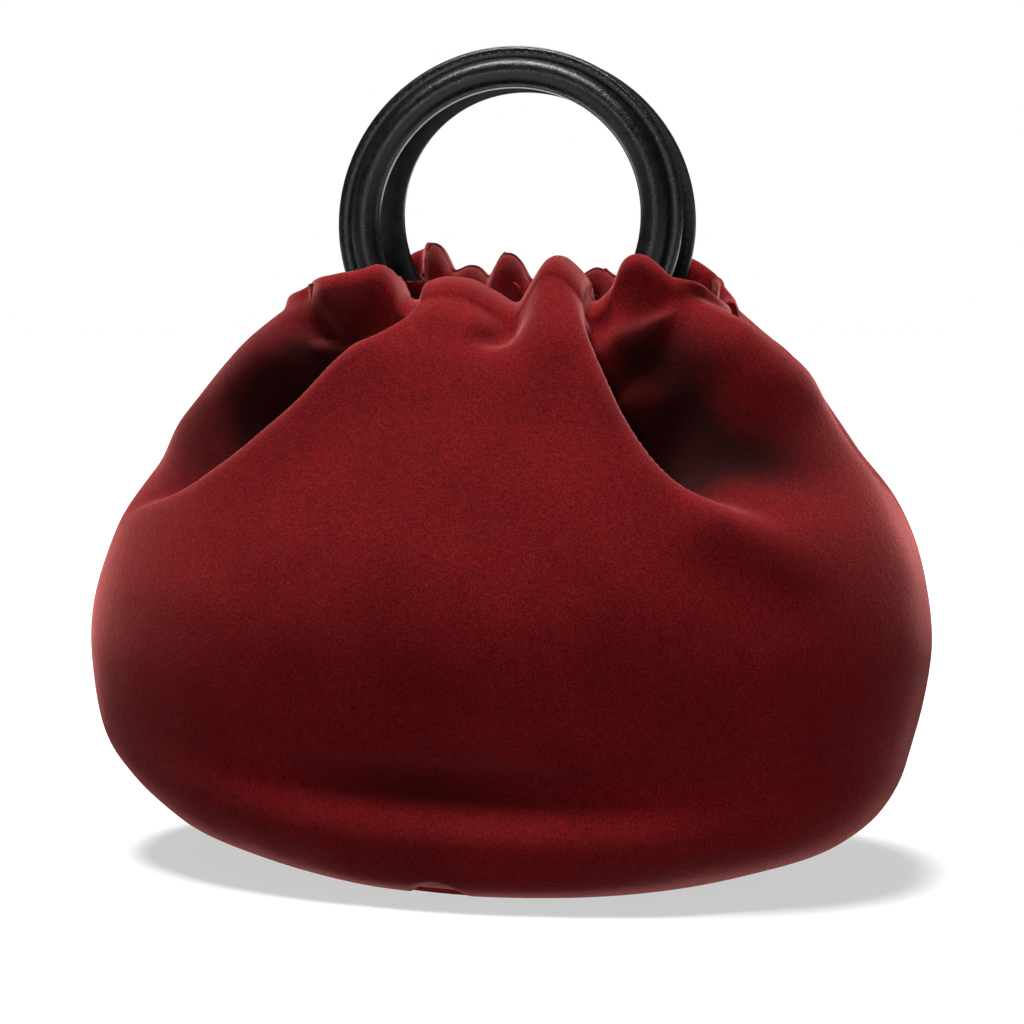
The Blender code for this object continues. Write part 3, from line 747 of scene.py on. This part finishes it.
def suede_half(side):
    """One half of the suede as a grid: up the wall, over the rim and down inside."""
    table = np.array(SECTIONS)
    heights = np.concatenate(
        [
            np.linspace(table[0, 0], FINE_HEIGHT, FINE_ROWS, endpoint=False),
            np.linspace(FINE_HEIGHT, SHOULDER, WALL_ROWS - FINE_ROWS, endpoint=False),
            np.linspace(SHOULDER, WALL_TOP, TOP_ROWS),
        ]
    )
    wall, around = base_wall(heights, side)
    normals = grid_normals(wall) * (1 if side < 0 else -1)
    folds = Folds(wall, around)
    (front_folds if side < 0 else back_folds)(folds)
    seam_distance = np.minimum(around - around[:, :1], around[:, -1:] - around)
    out = folds.out * smooth_step(0.001, 0.030, seam_distance)
    shared = Folds(wall, around)
    side_folds(shared)
    out += shared.out
    swell = cloud(wall, 0.055, 3.0 + side) * 0.0016 + cloud(wall, 0.021, 9.0 + side) * 0.0005
    out += swell * smooth_step(0.004, 0.030, seam_distance)
    out *= smooth_step(0.0, 0.010, wall[..., 2])
    way_round = np.gradient(wall, axis=1)
    way_round /= np.linalg.norm(way_round, axis=2, keepdims=True)
    way_up = np.gradient(wall, axis=0)
    way_up /= np.linalg.norm(way_up, axis=2, keepdims=True)
    p = wall + normals * out[..., None]
    p += way_round * folds.slide_u[..., None] + way_up * folds.slide_z[..., None]

    rim = FRONT_RIM if side < 0 else BACK_RIM
    crest = across(rim["x"], rim["z"], wall[-1, :, 0])
    x = p[-1, :, 0]
    ears = smooth_step(0.0400, 0.0470, np.abs(x))
    outer = smooth_step(0.0720, 0.0840, np.abs(x))
    rise = RIM_RISE + (EAR_RISE - RIM_RISE) * ears
    start = crest - rise
    # fit the wall above the shoulder between the shoulder and the rim
    top = slice(WALL_ROWS, WALL_ROWS + TOP_ROWS)
    t = (wall[top, :, 2] - SHOULDER) / (WALL_TOP - SHOULDER)
    p[top, :, 2] += t**1.5 * (start - WALL_TOP)[None, :]
    # keep clear of the ring
    fine = Folds(wall, around)
    (front_creases if side < 0 else back_creases)(fine)
    for room in (0.0040, 0.0):
        clear = ring_clearance(p[..., 0], p[..., 2])
        clear = clear + room * (clear > 0.001)
        p[..., 1] = side * np.maximum(side * p[..., 1], clear)
        if room:
            p = relax(p, 2, 0.5, False)
            p = p + normals * fine.out[..., None]
    p = relax(p, 2, 0.5, False)

    # turn the rim over
    edge = p[-1]
    inward = np.zeros((COLUMNS, 2))
    inward[:, 1] = -side * (1 - outer)
    inward[:, 0] = -np.sign(x) * outer
    inward /= np.linalg.norm(inward, axis=1, keepdims=True)
    reach_mid = np.abs(edge[:, 1]) - RIM_INNER_MIDDLE
    reach_ear = np.maximum(np.abs(edge[:, 1]) - RIM_INNER_EARS, 0.0028)
    reach = reach_mid * (1 - ears) + reach_ear * ears
    reach = reach * (1 - outer) + 0.0050 * outer
    if side > 0:
        reach += 0.0032 * (1 - ears) * np.cos(2 * math.pi * (x + 0.0115) / 0.0155)

    def rolled(turn, down):
        """The rim at a turn (0 outside, pi inside), and how far its hem hangs below that."""
        row = edge.copy()
        row[:, :2] += inward * (reach * (1 - np.cos(turn)) / 2)[:, None]
        row[:, 2] += rise * np.sin(turn) - down
        return row

    # between a ring's legs the inner half of the rim is a piece of its own
    roll = []
    for k in range(1, ROLL_ROWS + HEM_ROWS + 1):
        short = math.pi * RIM_JOIN * k / (ROLL_ROWS + HEM_ROWS)
        full = math.pi * min(k / ROLL_ROWS, 1.0)
        hem = EAR_HEM_STEP * max(k - ROLL_ROWS, 0)
        roll.append(rolled(short + (full - short) * ears, hem * ears))
    p = np.concatenate([p, roll], axis=0)
    middle = np.abs(x) < RIM_PIECE_REACH
    turns = np.linspace(math.pi * RIM_JOIN, math.pi, ROLL_ROWS)
    rim_rows = [rolled(turn, RIM_BELOW) for turn in turns]
    rim_rows += [rolled(math.pi, RIM_BELOW + HEM_STEP * k) for k in range(1, HEM_ROWS)]
    rim_grid = relax(np.array(rim_rows)[:, middle], 4, 0.5, False)
    p = relax(p, 26, 0.5, True, WALL_ROWS + TOP_ROWS - 3)
    p = relax(p, 5, 0.5, False)
    # the side seam: both halves turn in a little
    groove = np.exp(-((np.minimum(np.arange(COLUMNS), np.arange(COLUMNS)[::-1]) / 0.9) ** 2))
    p[..., 0] -= np.sign(p[..., 0]) * 0.0012 * groove[None, :]
    foot = p[0, :, :2].copy()
    # painted shade from the folds, carried out for the suede's colour
    painted_shade = np.zeros(p.shape[:2])
    painted_shade[: len(heights)] = folds.painted_shade
    if side < 0:
        # painted shade: the arch's inside is darkened in the suede's colour
        p, shade = arch_dent(p)
        painted_shade += 2 * shade
    return p, foot, np.clip(painted_shade, 0, 1), rim_grid


def mark_painted_shade(mesh, painted_shade, side):
    """Writes the painted shade at each point, how deep in a fold it lies, for the suede's colour."""
    flap = np.zeros((painted_shade.shape[0], ALLOWANCE_STEPS))
    painted_shade = np.concatenate([flap, painted_shade, flap], axis=1)
    if side > 0:
        painted_shade = painted_shade[:, ::-1]
    values = np.concatenate([painted_shade.ravel(), painted_shade.ravel()]).astype(np.float32)
    mesh.attributes.new("painted_fold_shade", "FLOAT", "POINT").data.foreach_set("value", values)


def with_allowances(p):
    """The half with its side edges turned in, as they are sewn inside the bag."""
    flaps = []
    for column in (0, -1):
        edge = p[:, column]
        steps = np.linspace(0, SEAM_ALLOWANCE, ALLOWANCE_STEPS + 1)[1:]
        flap = np.repeat(edge[:, None], len(steps), axis=1)
        flap[..., 0] -= np.sign(edge[:, 0])[:, None] * steps[None, :]
        flaps.append(flap)
    return np.concatenate([flaps[0][:, ::-1], p, flaps[1]], axis=1)


def finish_grid(name, p, side, thickness, material):
    """side 1 runs the other way round, so its grid is turned to face outwards."""
    grid = p if side < 0 else p[:, ::-1]
    mesh = shell_mesh(name, grid, thickness)
    for vertex in mesh.vertices:
        vertex.co.z = max(vertex.co.z, 0.0002)  # on the floor, never through it
    return link(name, mesh, material)


# The line where the mouth tilts: the lining hangs slack along it.
BLEND_NORMAL = Vector((0.0, -1.0, 1.5))
BLEND_LOW = 0.339
BLEND_HIGH = 0.369


def blend_with_mouth(obj):
    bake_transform(obj)


def make_suede():
    grids, feet = {}, {}
    for side, name in ((-1, "front"), (1, "back")):
        p, feet[side], painted_shade, rim_grid = suede_half(side)
        grids[side] = p
        obj = finish_grid(f"{name}_suede", with_allowances(p), side, SUEDE_THICK, SUEDE)
        mark_painted_shade(obj.data, painted_shade, side)
        rim = finish_grid(f"{name}_rim_suede", rim_grid, side, SUEDE_THICK, SUEDE)
        ride(rim, f"{name}_mouth", "red_suede")
        blend_with_mouth(obj)
        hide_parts(f"{name}_panel", f"{name}_gather")
    return grids, feet


def fan_mesh(name, outline, low, high, dome=0.0):
    """A thin level plate from an outline: rings shrinking to the middle, top and underside."""
    shares = (1.0, 0.994, 0.93, 0.8, 0.6, 0.4, 0.2, 0.03)
    count = len(outline)
    centre = outline.mean(axis=0)
    verts = []
    for height, dz in ((low, dome), (high, dome)):
        for s in shares:
            ring = centre + (outline - centre) * s
            z = np.full((count, 1), height + dz * (1 - s * s))
            verts.append(np.hstack([ring, z]))
    rows = len(shares)
    verts = np.vstack(verts)
    under = grid_quads(rows, count, 0, wrap=True)
    over = grid_quads(rows, count, rows * count, flip=True, wrap=True)
    a = np.arange(count)
    b = (a + 1) % count
    rim = np.stack([a, b, b + rows * count, a + rows * count], -1)[:, ::-1]
    quads = np.vstack([under, over, rim])
    bm_mesh = mesh_of(name, verts, quads)
    bm = bmesh.new()
    bm.from_mesh(bm_mesh)
    loops = [e for e in bm.edges if e.is_boundary]
    bmesh.ops.holes_fill(bm, edges=loops, sides=0)
    bmesh.ops.recalc_face_normals(bm, faces=bm.faces)
    bm.to_mesh(bm_mesh)
    bm.free()
    shade_smooth(bm_mesh)
    return bm_mesh


SOLE_SHARE = 0.988  # of the wall's lower edge
LINING_FLOOR_SHARE = 0.90


def make_base(feet):
    """The suede sole, drawn to the wall's lower edge, and the lining floor."""
    front = feet[-1]
    back = feet[1][::-1]
    loop = np.vstack([front, back[1:-1]])
    centre = loop.mean(axis=0)
    sole = centre + (loop - centre) * SOLE_SHARE
    obj = link("base_suede", fan_mesh("base_suede", sole, 0.0, 0.0019), SUEDE)
    ride(obj, "bag", "red_suede", "base_panel")
    floor = centre + (loop - centre) * LINING_FLOOR_SHARE
    obj = link("base_lining_cloth", fan_mesh("base_lining_cloth", floor, 0.0050, 0.0062), CANVAS)
    ride(obj, "bag", "lining_canvas", "base_lining")


def make_lining(grids):
    """A canvas shell that follows the suede's folds inside it, more softly."""
    for side, name in ((-1, "front"), (1, "back")):
        p = grids[side][10 : WALL_ROWS + TOP_ROWS - 4 : 2, ::2].copy()
        last = grids[side][10 : WALL_ROWS + TOP_ROWS - 4 : 2, -1:].copy()
        p = np.concatenate([p[:, :-1], last], axis=1)
        n = grid_normals(p) * (1 if side < 0 else -1)
        suede = p
        p = suede - n * LINING_INSET
        for _ in range(3):
            p = relax(p, 4, 0.5, False)
            inside = -np.sum((p - suede) * n, axis=2)
            p = p - n * np.maximum(LINING_INSET - 0.0010 - inside, 0.0)[..., None]
        # at the line where the mouth tilts, the lining hangs well clear of the suede
        value = side * p[..., 1] + BLEND_NORMAL.z * p[..., 2]
        before = p[..., 1].copy()
        slack = np.exp(-(((value - (BLEND_LOW + BLEND_HIGH) / 2) / LINING_SLACK_REACH) ** 2))
        slack *= 1 - smooth_step(0.060, 0.095, np.abs(p[..., 0]))
        if side < 0:
            p[..., 1] += LINING_SLACK * slack
        facing = (1 - smooth_step(0.074, 0.088, np.abs(p[..., 0]))) * smooth_step(0.160, 0.176, p[..., 2])
        least = np.minimum(LINING_FACING_ROOM * facing, side * before - 0.0010)
        p[..., 1] = side * np.maximum(side * p[..., 1], least)
        # and it stops short of the rim at the side seams
        edge = np.minimum(np.arange(p.shape[1]), np.arange(p.shape[1])[::-1])
        short = np.clip(1 - edge / 9, 0, 1)[None, :] * smooth_step(0.150, 0.222, p[..., 2])
        p[..., 2] -= 0.0100 * short
        p[:, 0, 1] = p[:, -1, 1] = -side * 0.0010  # the halves overlap at the side seams
        p[..., 2] = np.maximum(p[..., 2], 0.0052)
        crumple = cloud(p, 0.018, 5.0 + side) * 0.0006
        crumple *= np.clip(edge / 8, 0, 1)[None, :]
        p -= n * np.abs(crumple)[..., None]
        obj = finish_grid(f"{name}_lining_cloth", p, side, LINING_THICK, CANVAS)
        blend_with_mouth(obj)
        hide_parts(f"{name}_lining")


# ---------------------------------------------------------------- ring handles
def ring_matrix(side):
    """The ring's frame: its centre, +Z along its axis and out of the bag, +Y up its plane."""
    lean = Matrix.Rotation(math.pi / 2 - RING_LEAN, 4, "X")
    front = Matrix.Translation(RING_CENTRE) @ lean
    return front if side < 0 else Matrix.Rotation(math.pi, 4, "Z") @ front


def turned_mesh(name, outline, steps=240, wobble=None):
    """Turns a closed (radius, height) outline round Z."""
    outline = np.array(outline)
    angle = np.linspace(0, 2 * math.pi, steps, endpoint=False)
    r = outline[:, 0][:, None]
    h = outline[:, 1][:, None]
    rr = r + (wobble(angle[None, :], r) if wobble else 0.0)
    verts = np.stack([rr * np.cos(angle), rr * np.sin(angle), h + 0 * angle], -1)
    count = len(outline)
    ids = np.arange(count * steps).reshape(count, steps)
    nxt = np.roll(ids, -1, axis=0)
    quads = np.stack([ids, nxt, np.roll(nxt, -1, 1), np.roll(ids, -1, 1)], -1)
    mesh = mesh_of(name, verts.reshape(-1, 3), quads.reshape(-1, 4))
    bm = bmesh.new()
    bm.from_mesh(mesh)
    bmesh.ops.recalc_face_normals(bm, faces=bm.faces)
    bm.to_mesh(mesh)
    bm.free()
    return mesh


def rounded(points, radius, steps=4):
    """The closed outline with its corners rounded."""
    pts = [Vector(p) for p in points]
    out = []
    for k, p in enumerate(pts):
        a = pts[k - 1] - p
        b = pts[(k + 1) % len(pts)] - p
        cut = min(radius, a.length * 0.45, b.length * 0.45)
        s, e = p + a.normalized() * cut, p + b.normalized() * cut
        for j in range(steps + 1):
            t = j / steps
            out.append(tuple((1 - t) ** 2 * s + 2 * t * (1 - t) * p + t**2 * e))
    return out


def cover_outline():
    """A half-round tube next to the bore, a pressed groove, then a flat rim that is stitched."""
    centre = RING_INNER + TUBE
    flange = COVER_FOOT + LEATHER + 0.0004
    tube = []
    for k in range(29):
        a = math.radians(180 - (180 - 27) * k / 28)
        tube.append((centre + TUBE * math.cos(a), COVER_FOOT + TUBE * 1.06 * math.sin(a)))
    groove = centre + TUBE * 1.02
    rim = [
        (groove, flange - 0.0005),
        (groove + 0.0006, flange - 0.0001),
        (groove + 0.0014, flange + 0.0001),
        (RING_OUTER - 0.0012, flange + 0.0001),
        (RING_OUTER - 0.0004, flange - 0.0003),
        (RING_OUTER, flange - 0.0009),
        (RING_OUTER, 0.0004),
        (RING_OUTER - 0.0003, COVER_FOOT),
        (RING_INNER + 0.0003, COVER_FOOT),
    ]
    return tube + rim


def stitch_mesh(name, places, length, thick, sink=0.25):
    """Thread stitches: one small capsule at each (matrix), its long side along local X."""
    steps, sides = 6, 7
    body, quads = [], []
    for k in range(steps + 1):
        t = -1 + 2 * k / steps
        half = math.sqrt(max(1 - t**4, 0.02)) * thick / 2
        drop = -sink * thick - 0.9 * thick * t**4
        for j in range(sides):
            a = 2 * math.pi * j / sides
            body.append((t * length / 2, half * math.cos(a), half * math.sin(a) * 0.8 + drop))
    for k in range(steps):
        for j in range(sides):
            a = k * sides + j
            b = k * sides + (j + 1) % sides
            quads.append((a, b, b + sides, a + sides))
    body = np.array(body)
    verts, faces = [], []
    for m in places:
        m = np.array(m)
        faces.append(np.array(quads) + len(verts) * len(body))
        verts.append(body @ m[:3, :3].T + m[:3, 3])
    mesh = mesh_of(name, np.vstack(verts), np.vstack(faces)[:, ::-1])
    shade_smooth(mesh, 180)
    return mesh


def make_rings():
    stitch_radius = RING_OUTER - STITCH_INSET
    flange_top = COVER_FOOT + LEATHER + 0.0005
    for side, name in ((-1, "front"), (1, "back")):
        at = ring_matrix(side)

        def settle(part, mesh, material, *nodes, smooth=50.0):
            mesh.transform(at)
            shade_smooth(mesh, smooth)
            ride(link(f"{name}_ring_{part}", mesh, material), f"{name}_ring", "black_leather", *nodes)

        def seam_pull(angle, r):
            """The cover is pulled in a little at each stitch."""
            rim = smooth_step(stitch_radius - 0.003, stitch_radius, r)
            return -0.00012 * rim * (0.5 + 0.5 * np.cos(angle * RING_STITCHES))

        cover = turned_mesh("cover", cover_outline(), 448, seam_pull)
        settle("leather", cover, RING_LEATHER, f"{name}_ring_cover")
        back = rounded(
            (
                (RING_OUTER, -0.0013),
                (RING_OUTER, RING_BACK),
                (RING_INNER, RING_BACK),
                (RING_INNER, -0.0013),
            ),
            0.0005,
        )
        settle("lining", turned_mesh("back", back), BLACK_LEATHER, f"{name}_ring_backing")
        for part, inner, outer in (
            ("outer_edge", RING_OUTER - 0.0010, RING_OUTER + 0.00035),
            ("inner_edge", RING_INNER - 0.00035, RING_INNER + 0.0010),
        ):
            bead = rounded(((outer, 0.0009), (outer, -0.0021), (inner, -0.0021), (inner, 0.0009)), 0.0008, 5)
            settle(part, turned_mesh(part, bead), EDGE_PAINT)
        for part, height, flip in (("stitching", flange_top, 1), ("back_stitching", RING_BACK, -1)):
            places = []
            for k in range(RING_STITCHES):
                a = 2 * math.pi * (k + 0.5) / RING_STITCHES
                spot = (stitch_radius * math.cos(a), stitch_radius * math.sin(a), height)
                turn = Matrix.Rotation(a + math.pi / 2 + 0.10 * flip, 4, "Z")
                if flip < 0:
                    turn = turn @ Matrix.Rotation(math.pi, 4, "X")
                places.append(Matrix.Translation(spot) @ turn)
            thread = stitch_mesh(part, places, 0.0026, 0.0007)
            settle(part, thread, THREAD, smooth=180.0)


# ---------------------------------------------------------------- mouth: facings and sleeves
FACING_HALF_WIDTH = 0.076
FACING_TOP = -0.0230
FACING_BOTTOM = -0.0745
FACING_AT = -0.0051  # along the ring's axis
FACING_THICK = 0.0018
FACING_SEAMS = ((0.0480, 34), (0.0700, 46))  # radius round the ring's centre, number of stitches


def make_facings():
    for side, name in ((-1, "front"), (1, "back")):
        at = np.array(ring_matrix(side))
        rim = FRONT_RIM if side < 0 else BACK_RIM
        s = np.linspace(-1, 1, 110)
        t = np.linspace(0, 1, 46)
        x = s[None, :] * FACING_HALF_WIDTH * np.ones((len(t), 1))
        world_x = x[0] * (1 if side < 0 else -1)
        crest = across(rim["x"], rim["z"], world_x)
        under_roll = (crest - 0.0105 - RING_CENTRE.z) / math.cos(RING_LEAN)
        middle = 1 - smooth_step(0.0400, 0.0460, np.abs(x[0]))
        top = FACING_TOP * (1 - middle) + np.minimum(under_roll, FACING_TOP) * middle
        corner = 0.018 * (1 - np.sqrt(np.clip(1 - np.clip((np.abs(s) - 0.76) / 0.24, 0, 1) ** 2, 0, 1)))
        high = top - corner * 0.7
        low = FACING_BOTTOM + corner
        y = low[None, :] + (high - low)[None, :] * t[:, None]
        radius = np.hypot(x, y)
        puff = np.exp(-(((radius - 0.0585) / 0.0085) ** 2)) * 0.0010
        ripple = 0.0005 * np.sin(x * 900 + 3 * np.sin(y * 140)) * smooth_step(-0.060, -0.030, y)
        z = FACING_AT - puff - np.abs(ripple)
        local = np.stack([x, y, z, np.ones_like(x)], -1)
        p = (local @ at.T)[..., :3]
        grid = p[:, ::-1]
        mesh = shell_mesh(f"{name}_facing_suede", grid, -FACING_THICK)
        mesh.flip_normals()
        obj = link(f"{name}_facing_suede", mesh, SUEDE)
        ride(obj, f"{name}_mouth", "red_suede", f"{name}_facing")
        places = []
        for radius, count in FACING_SEAMS:
            for k in range(count):
                a = math.radians(205 + 130 * (k + 0.5) / count)
                spot = Vector((radius * math.cos(a), radius * math.sin(a), FACING_AT - FACING_THICK - 0.0006))
                if spot.y < FACING_BOTTOM + 0.002:
                    continue
                turn = Matrix.Rotation(a + math.pi / 2, 4, "Z") @ Matrix.Rotation(math.pi, 4, "X")
                places.append(Matrix(at) @ Matrix.Translation(spot) @ turn)
        thread = link(f"{name}_facing_stitching", stitch_mesh("t", places, 0.0027, 0.0007), RED_THREAD)
        ride(thread, f"{name}_mouth", "red_suede")
        sleeve = half_sleeve(f"{name}_sleeve_cloth")
        sleeve.transform(Matrix(at))
        obj = link(f"{name}_sleeve_cloth", sleeve, CANVAS)
        ride(obj, f"{name}_mouth", "lining_canvas", f"{name}_ring_sleeve")


SLEEVE_TOP = -0.02745  # from the ring's centre up its plane
SLEEVE_RADIUS = 0.0584
SLEEVE_HALF_WIDTH = 0.0092
SLEEVE_HALF_DEPTH = 0.0058
SLEEVE_AT = 0.0016  # along the ring's axis


def half_sleeve(name):
    """The cloth channel round a ring's lower half: an oval tube, open at both ends."""
    low = math.asin(SLEEVE_TOP / SLEEVE_RADIUS)
    along = np.linspace(math.pi - low, 2 * math.pi + low, 90)
    round_ = np.linspace(0, 2 * math.pi, 40)
    a, b = np.meshgrid(along, round_, indexing="ij")
    crumple = 1 + 0.03 * np.sin(17 * a + 2 * np.sin(3 * b)) * np.sin(2 * b)
    radius = SLEEVE_RADIUS + SLEEVE_HALF_WIDTH * np.cos(b) * crumple
    height = SLEEVE_AT + SLEEVE_HALF_DEPTH * np.sin(b) * crumple
    p = np.stack([radius * np.cos(a), radius * np.sin(a), height], -1)
    mesh = shell_mesh(name, p, 0.0008)
    return mesh


# ---------------------------------------------------------------- closure, pocket
POCKET_MOUTH = 0.144  # height above the floor


def make_inside():
    low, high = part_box("inner_pocket")
    rows, cols = 60, 90
    u = np.linspace(-1, 1, cols)
    v = np.linspace(0, 1, rows)
    uu, vv = np.meshgrid(u, v)
    x = uu * (high.x - 0.0006)
    z = low.z + (high.z - low.z) * vv
    # the back ply, then the front ply, which bows and sags at its mouth
    back = np.stack([x, np.full_like(x, high.y - 0.0004), z], -1)
    zf = low.z + (POCKET_MOUTH - low.z) * vv
    bow = 0.0060 * np.clip(1 - uu**2, 0, 1) ** 0.7 * smooth_step(0.0, 0.55, vv)
    wave = 0.0006 * np.sin(uu * 9 + vv * 5) * vv
    front = np.stack([x, high.y - 0.0030 - bow - wave, zf - 0.0022 * (1 - uu**2) * vv], -1)
    for name, p, nodes in (("pocket_back_ply", back, ()), ("pocket_front_ply", front, ("inner_pocket",))):
        ride(link(name, shell_mesh(name, p, 0.0010), CANVAS), "bag", "lining_canvas", *nodes)
    # the trim over the front ply's mouth
    top = front[-12:]
    band = top.copy()
    band[..., 1] -= 0.0013
    band = band[:, 2:-2]
    obj = link("pocket_trim_leather", shell_mesh("pocket_trim_leather", band, 0.0011), BLACK_LEATHER)
    ride(obj, "bag", "black_leather", "pocket_trim")


def make_tab():
    low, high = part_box("closure_tab")
    rows, cols = 40, 24
    half = (high.x - low.x) / 2
    v = np.linspace(0, 1, rows)
    height = low.z + (high.z - low.z) * v
    end = np.clip((low.z + half - height) / half, 0, 1)
    width = half * np.sqrt(np.clip(1 - end**2, 0.004, 1))
    u = np.linspace(-1, 1, cols)
    x = u[None, :] * width[:, None]
    pad = 0.0004 * np.clip(1 - (x / half) ** 4, 0, 1)
    y = low.y + 0.0002 - pad
    p = np.stack([x, y, height[:, None] + 0 * x], -1)
    mesh = shell_mesh("closure_tab_leather", p, 0.0018)
    obj = link("closure_tab_leather", mesh, BLACK_LEATHER)
    ride(obj, "closure_tab", "black_leather", "closure_tab")
    places = []
    inset = half - 0.0022
    run = [(-inset, z) for z in np.arange(high.z - 0.002, low.z + half, -0.0030)]
    centre = low.z + half
    bend = np.linspace(math.pi, 2 * math.pi, 12)[1:-1]
    run += [(inset * math.cos(a), centre + inset * math.sin(a)) for a in bend]
    run += [(inset, z) for z in np.arange(low.z + half, high.z - 0.002, 0.0030)]
    for (ax, az), (bx, bz) in zip(run[:-1], run[1:]):
        angle = math.atan2(bz - az, bx - ax)
        mid = Vector(((ax + bx) / 2, low.y + 0.0001, (az + bz) / 2))
        turn = Matrix.Rotation(math.pi / 2, 4, "X") @ Matrix.Rotation(angle, 4, "Z")
        places.append(Matrix.Translation(mid) @ turn)
    obj = link("closure_tab_stitching", stitch_mesh("t", places, 0.0024, 0.0006), THREAD)
    ride(obj, "closure_tab", "black_leather")


def dress_cad():
    """CAD nodes that stay get finished materials; the metal ones get softened edges."""
    looks = {
        "snap_stud": METAL,
        "snap_stud_cap": METAL,
        "snap_socket": METAL,
        "base_board": BOARD,
        "front_ring_core": CORE,
        "back_ring_core": CORE,
        "front_ring_plate": CORE,
        "back_ring_plate": CORE,
    }
    for name, material in looks.items():
        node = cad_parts[name]
        node.data.materials.clear()
        node.data.materials.append(material)
        if material is METAL:
            bevel = node.modifiers.new("soft_edges", "BEVEL")
            bevel.width = 0.0002
            bevel.segments = 2
            bevel.limit_method = "ANGLE"


# ---------------------------------------------------------------- stage
CAMERA_TURN = math.radians(10.57)
CAMERA_AWAY = 0.9866
CAMERA_HEIGHT = 0.2294
CAMERA_AIM = Vector((-0.0028, 0.0, 0.1382))


def make_camera():
    data = bpy.data.cameras.new("camera")
    data.lens = 88.9
    data.sensor_width = 36.0
    data.clip_start = 0.01
    obj = bpy.data.objects.new("camera", data)
    obj.location = (
        math.sin(CAMERA_TURN) * CAMERA_AWAY,
        -math.cos(CAMERA_TURN) * CAMERA_AWAY,
        CAMERA_HEIGHT,
    )
    obj.rotation_euler = (CAMERA_AIM - obj.location).to_track_quat("-Z", "Y").to_euler()
    bpy.context.scene.collection.objects.link(obj)
    bpy.context.scene.camera = obj


def make_light(name, kind, energy, at, aim, size=None, angle=None):
    data = bpy.data.lights.new(name, kind)
    data.energy = energy
    if size:
        data.shape = "RECTANGLE"
        data.size, data.size_y = size
    if angle:
        data.angle = math.radians(angle)
    obj = bpy.data.objects.new(name, data)
    obj.location = at
    obj.rotation_euler = (Vector(aim) - Vector(at)).to_track_quat("-Z", "Y").to_euler()
    bpy.context.scene.collection.objects.link(obj)


def make_stage():
    mesh = bpy.data.meshes.new("floor")
    bm = bmesh.new()
    bmesh.ops.create_circle(bm, cap_ends=True, radius=9.0, segments=96)
    bm.to_mesh(mesh)
    bm.free()
    m = Nodes("floor")
    drift = m.noise(0.8, 1.0)
    tone = m.ramp(drift, (0.3, (0.46, 0.46, 0.46)), (0.7, (0.47, 0.47, 0.47)))
    finish = m.finish(
        Base_Color=tone,
        Roughness=0.9,
        Specular_IOR_Level=0.1,
        Emission_Color=(1.0, 1.0, 1.0, 1.0),
        Emission_Strength=0.55,
    )
    floor = link("floor", mesh, finish)
    floor.visible_diffuse = False  # a black card's effect: no light thrown up under the belly

    make_light("key", "SUN", 7.0, (-0.24, -0.12, 2.0), (0, 0, 0.0), angle=24)
    make_light("front_fill", "SUN", 1.35, (0.05, -1.4, 0.17), (0, 0, 0.0), angle=10)
    make_light("right_fill", "AREA", 1.6, (1.7, -0.9, 0.7), (0, 0, 0.10), size=(0.9, 0.9))
    make_light("left_glow", "AREA", 0.45, (-1.6, 0.1, 0.6), (0, 0, 0.12), size=(0.9, 0.9))
    make_light("rear", "AREA", 1.0, (0.8, 1.6, 1.3), (0, 0, 0.16), size=(1.2, 1.2))

    world = bpy.data.worlds.new("studio")
    bpy.context.scene.world = world
    world.use_nodes = True
    tree = world.node_tree
    background = tree.nodes["Background"]
    background.inputs["Color"].default_value = (1, 1, 1, 1)
    background.inputs["Strength"].default_value = 0.035
    seen = tree.nodes.new("ShaderNodeBackground")
    seen.inputs["Color"].default_value = (1, 1, 1, 1)
    seen.inputs["Strength"].default_value = 1.0
    path = tree.nodes.new("ShaderNodeLightPath")
    mix = tree.nodes.new("ShaderNodeMixShader")
    tree.links.new(path.outputs["Is Camera Ray"], mix.inputs[0])
    tree.links.new(background.outputs[0], mix.inputs[1])
    tree.links.new(seen.outputs[0], mix.inputs[2])
    tree.links.new(mix.outputs[0], tree.nodes["World Output"].inputs["Surface"])
    bpy.context.scene.view_settings.view_transform = "Standard"


make_camera()
make_stage()
suede_grids, suede_feet = make_suede()
make_base(suede_feet)
make_lining(suede_grids)
make_rings()
make_facings()
make_inside()
make_tab()
dress_cad()
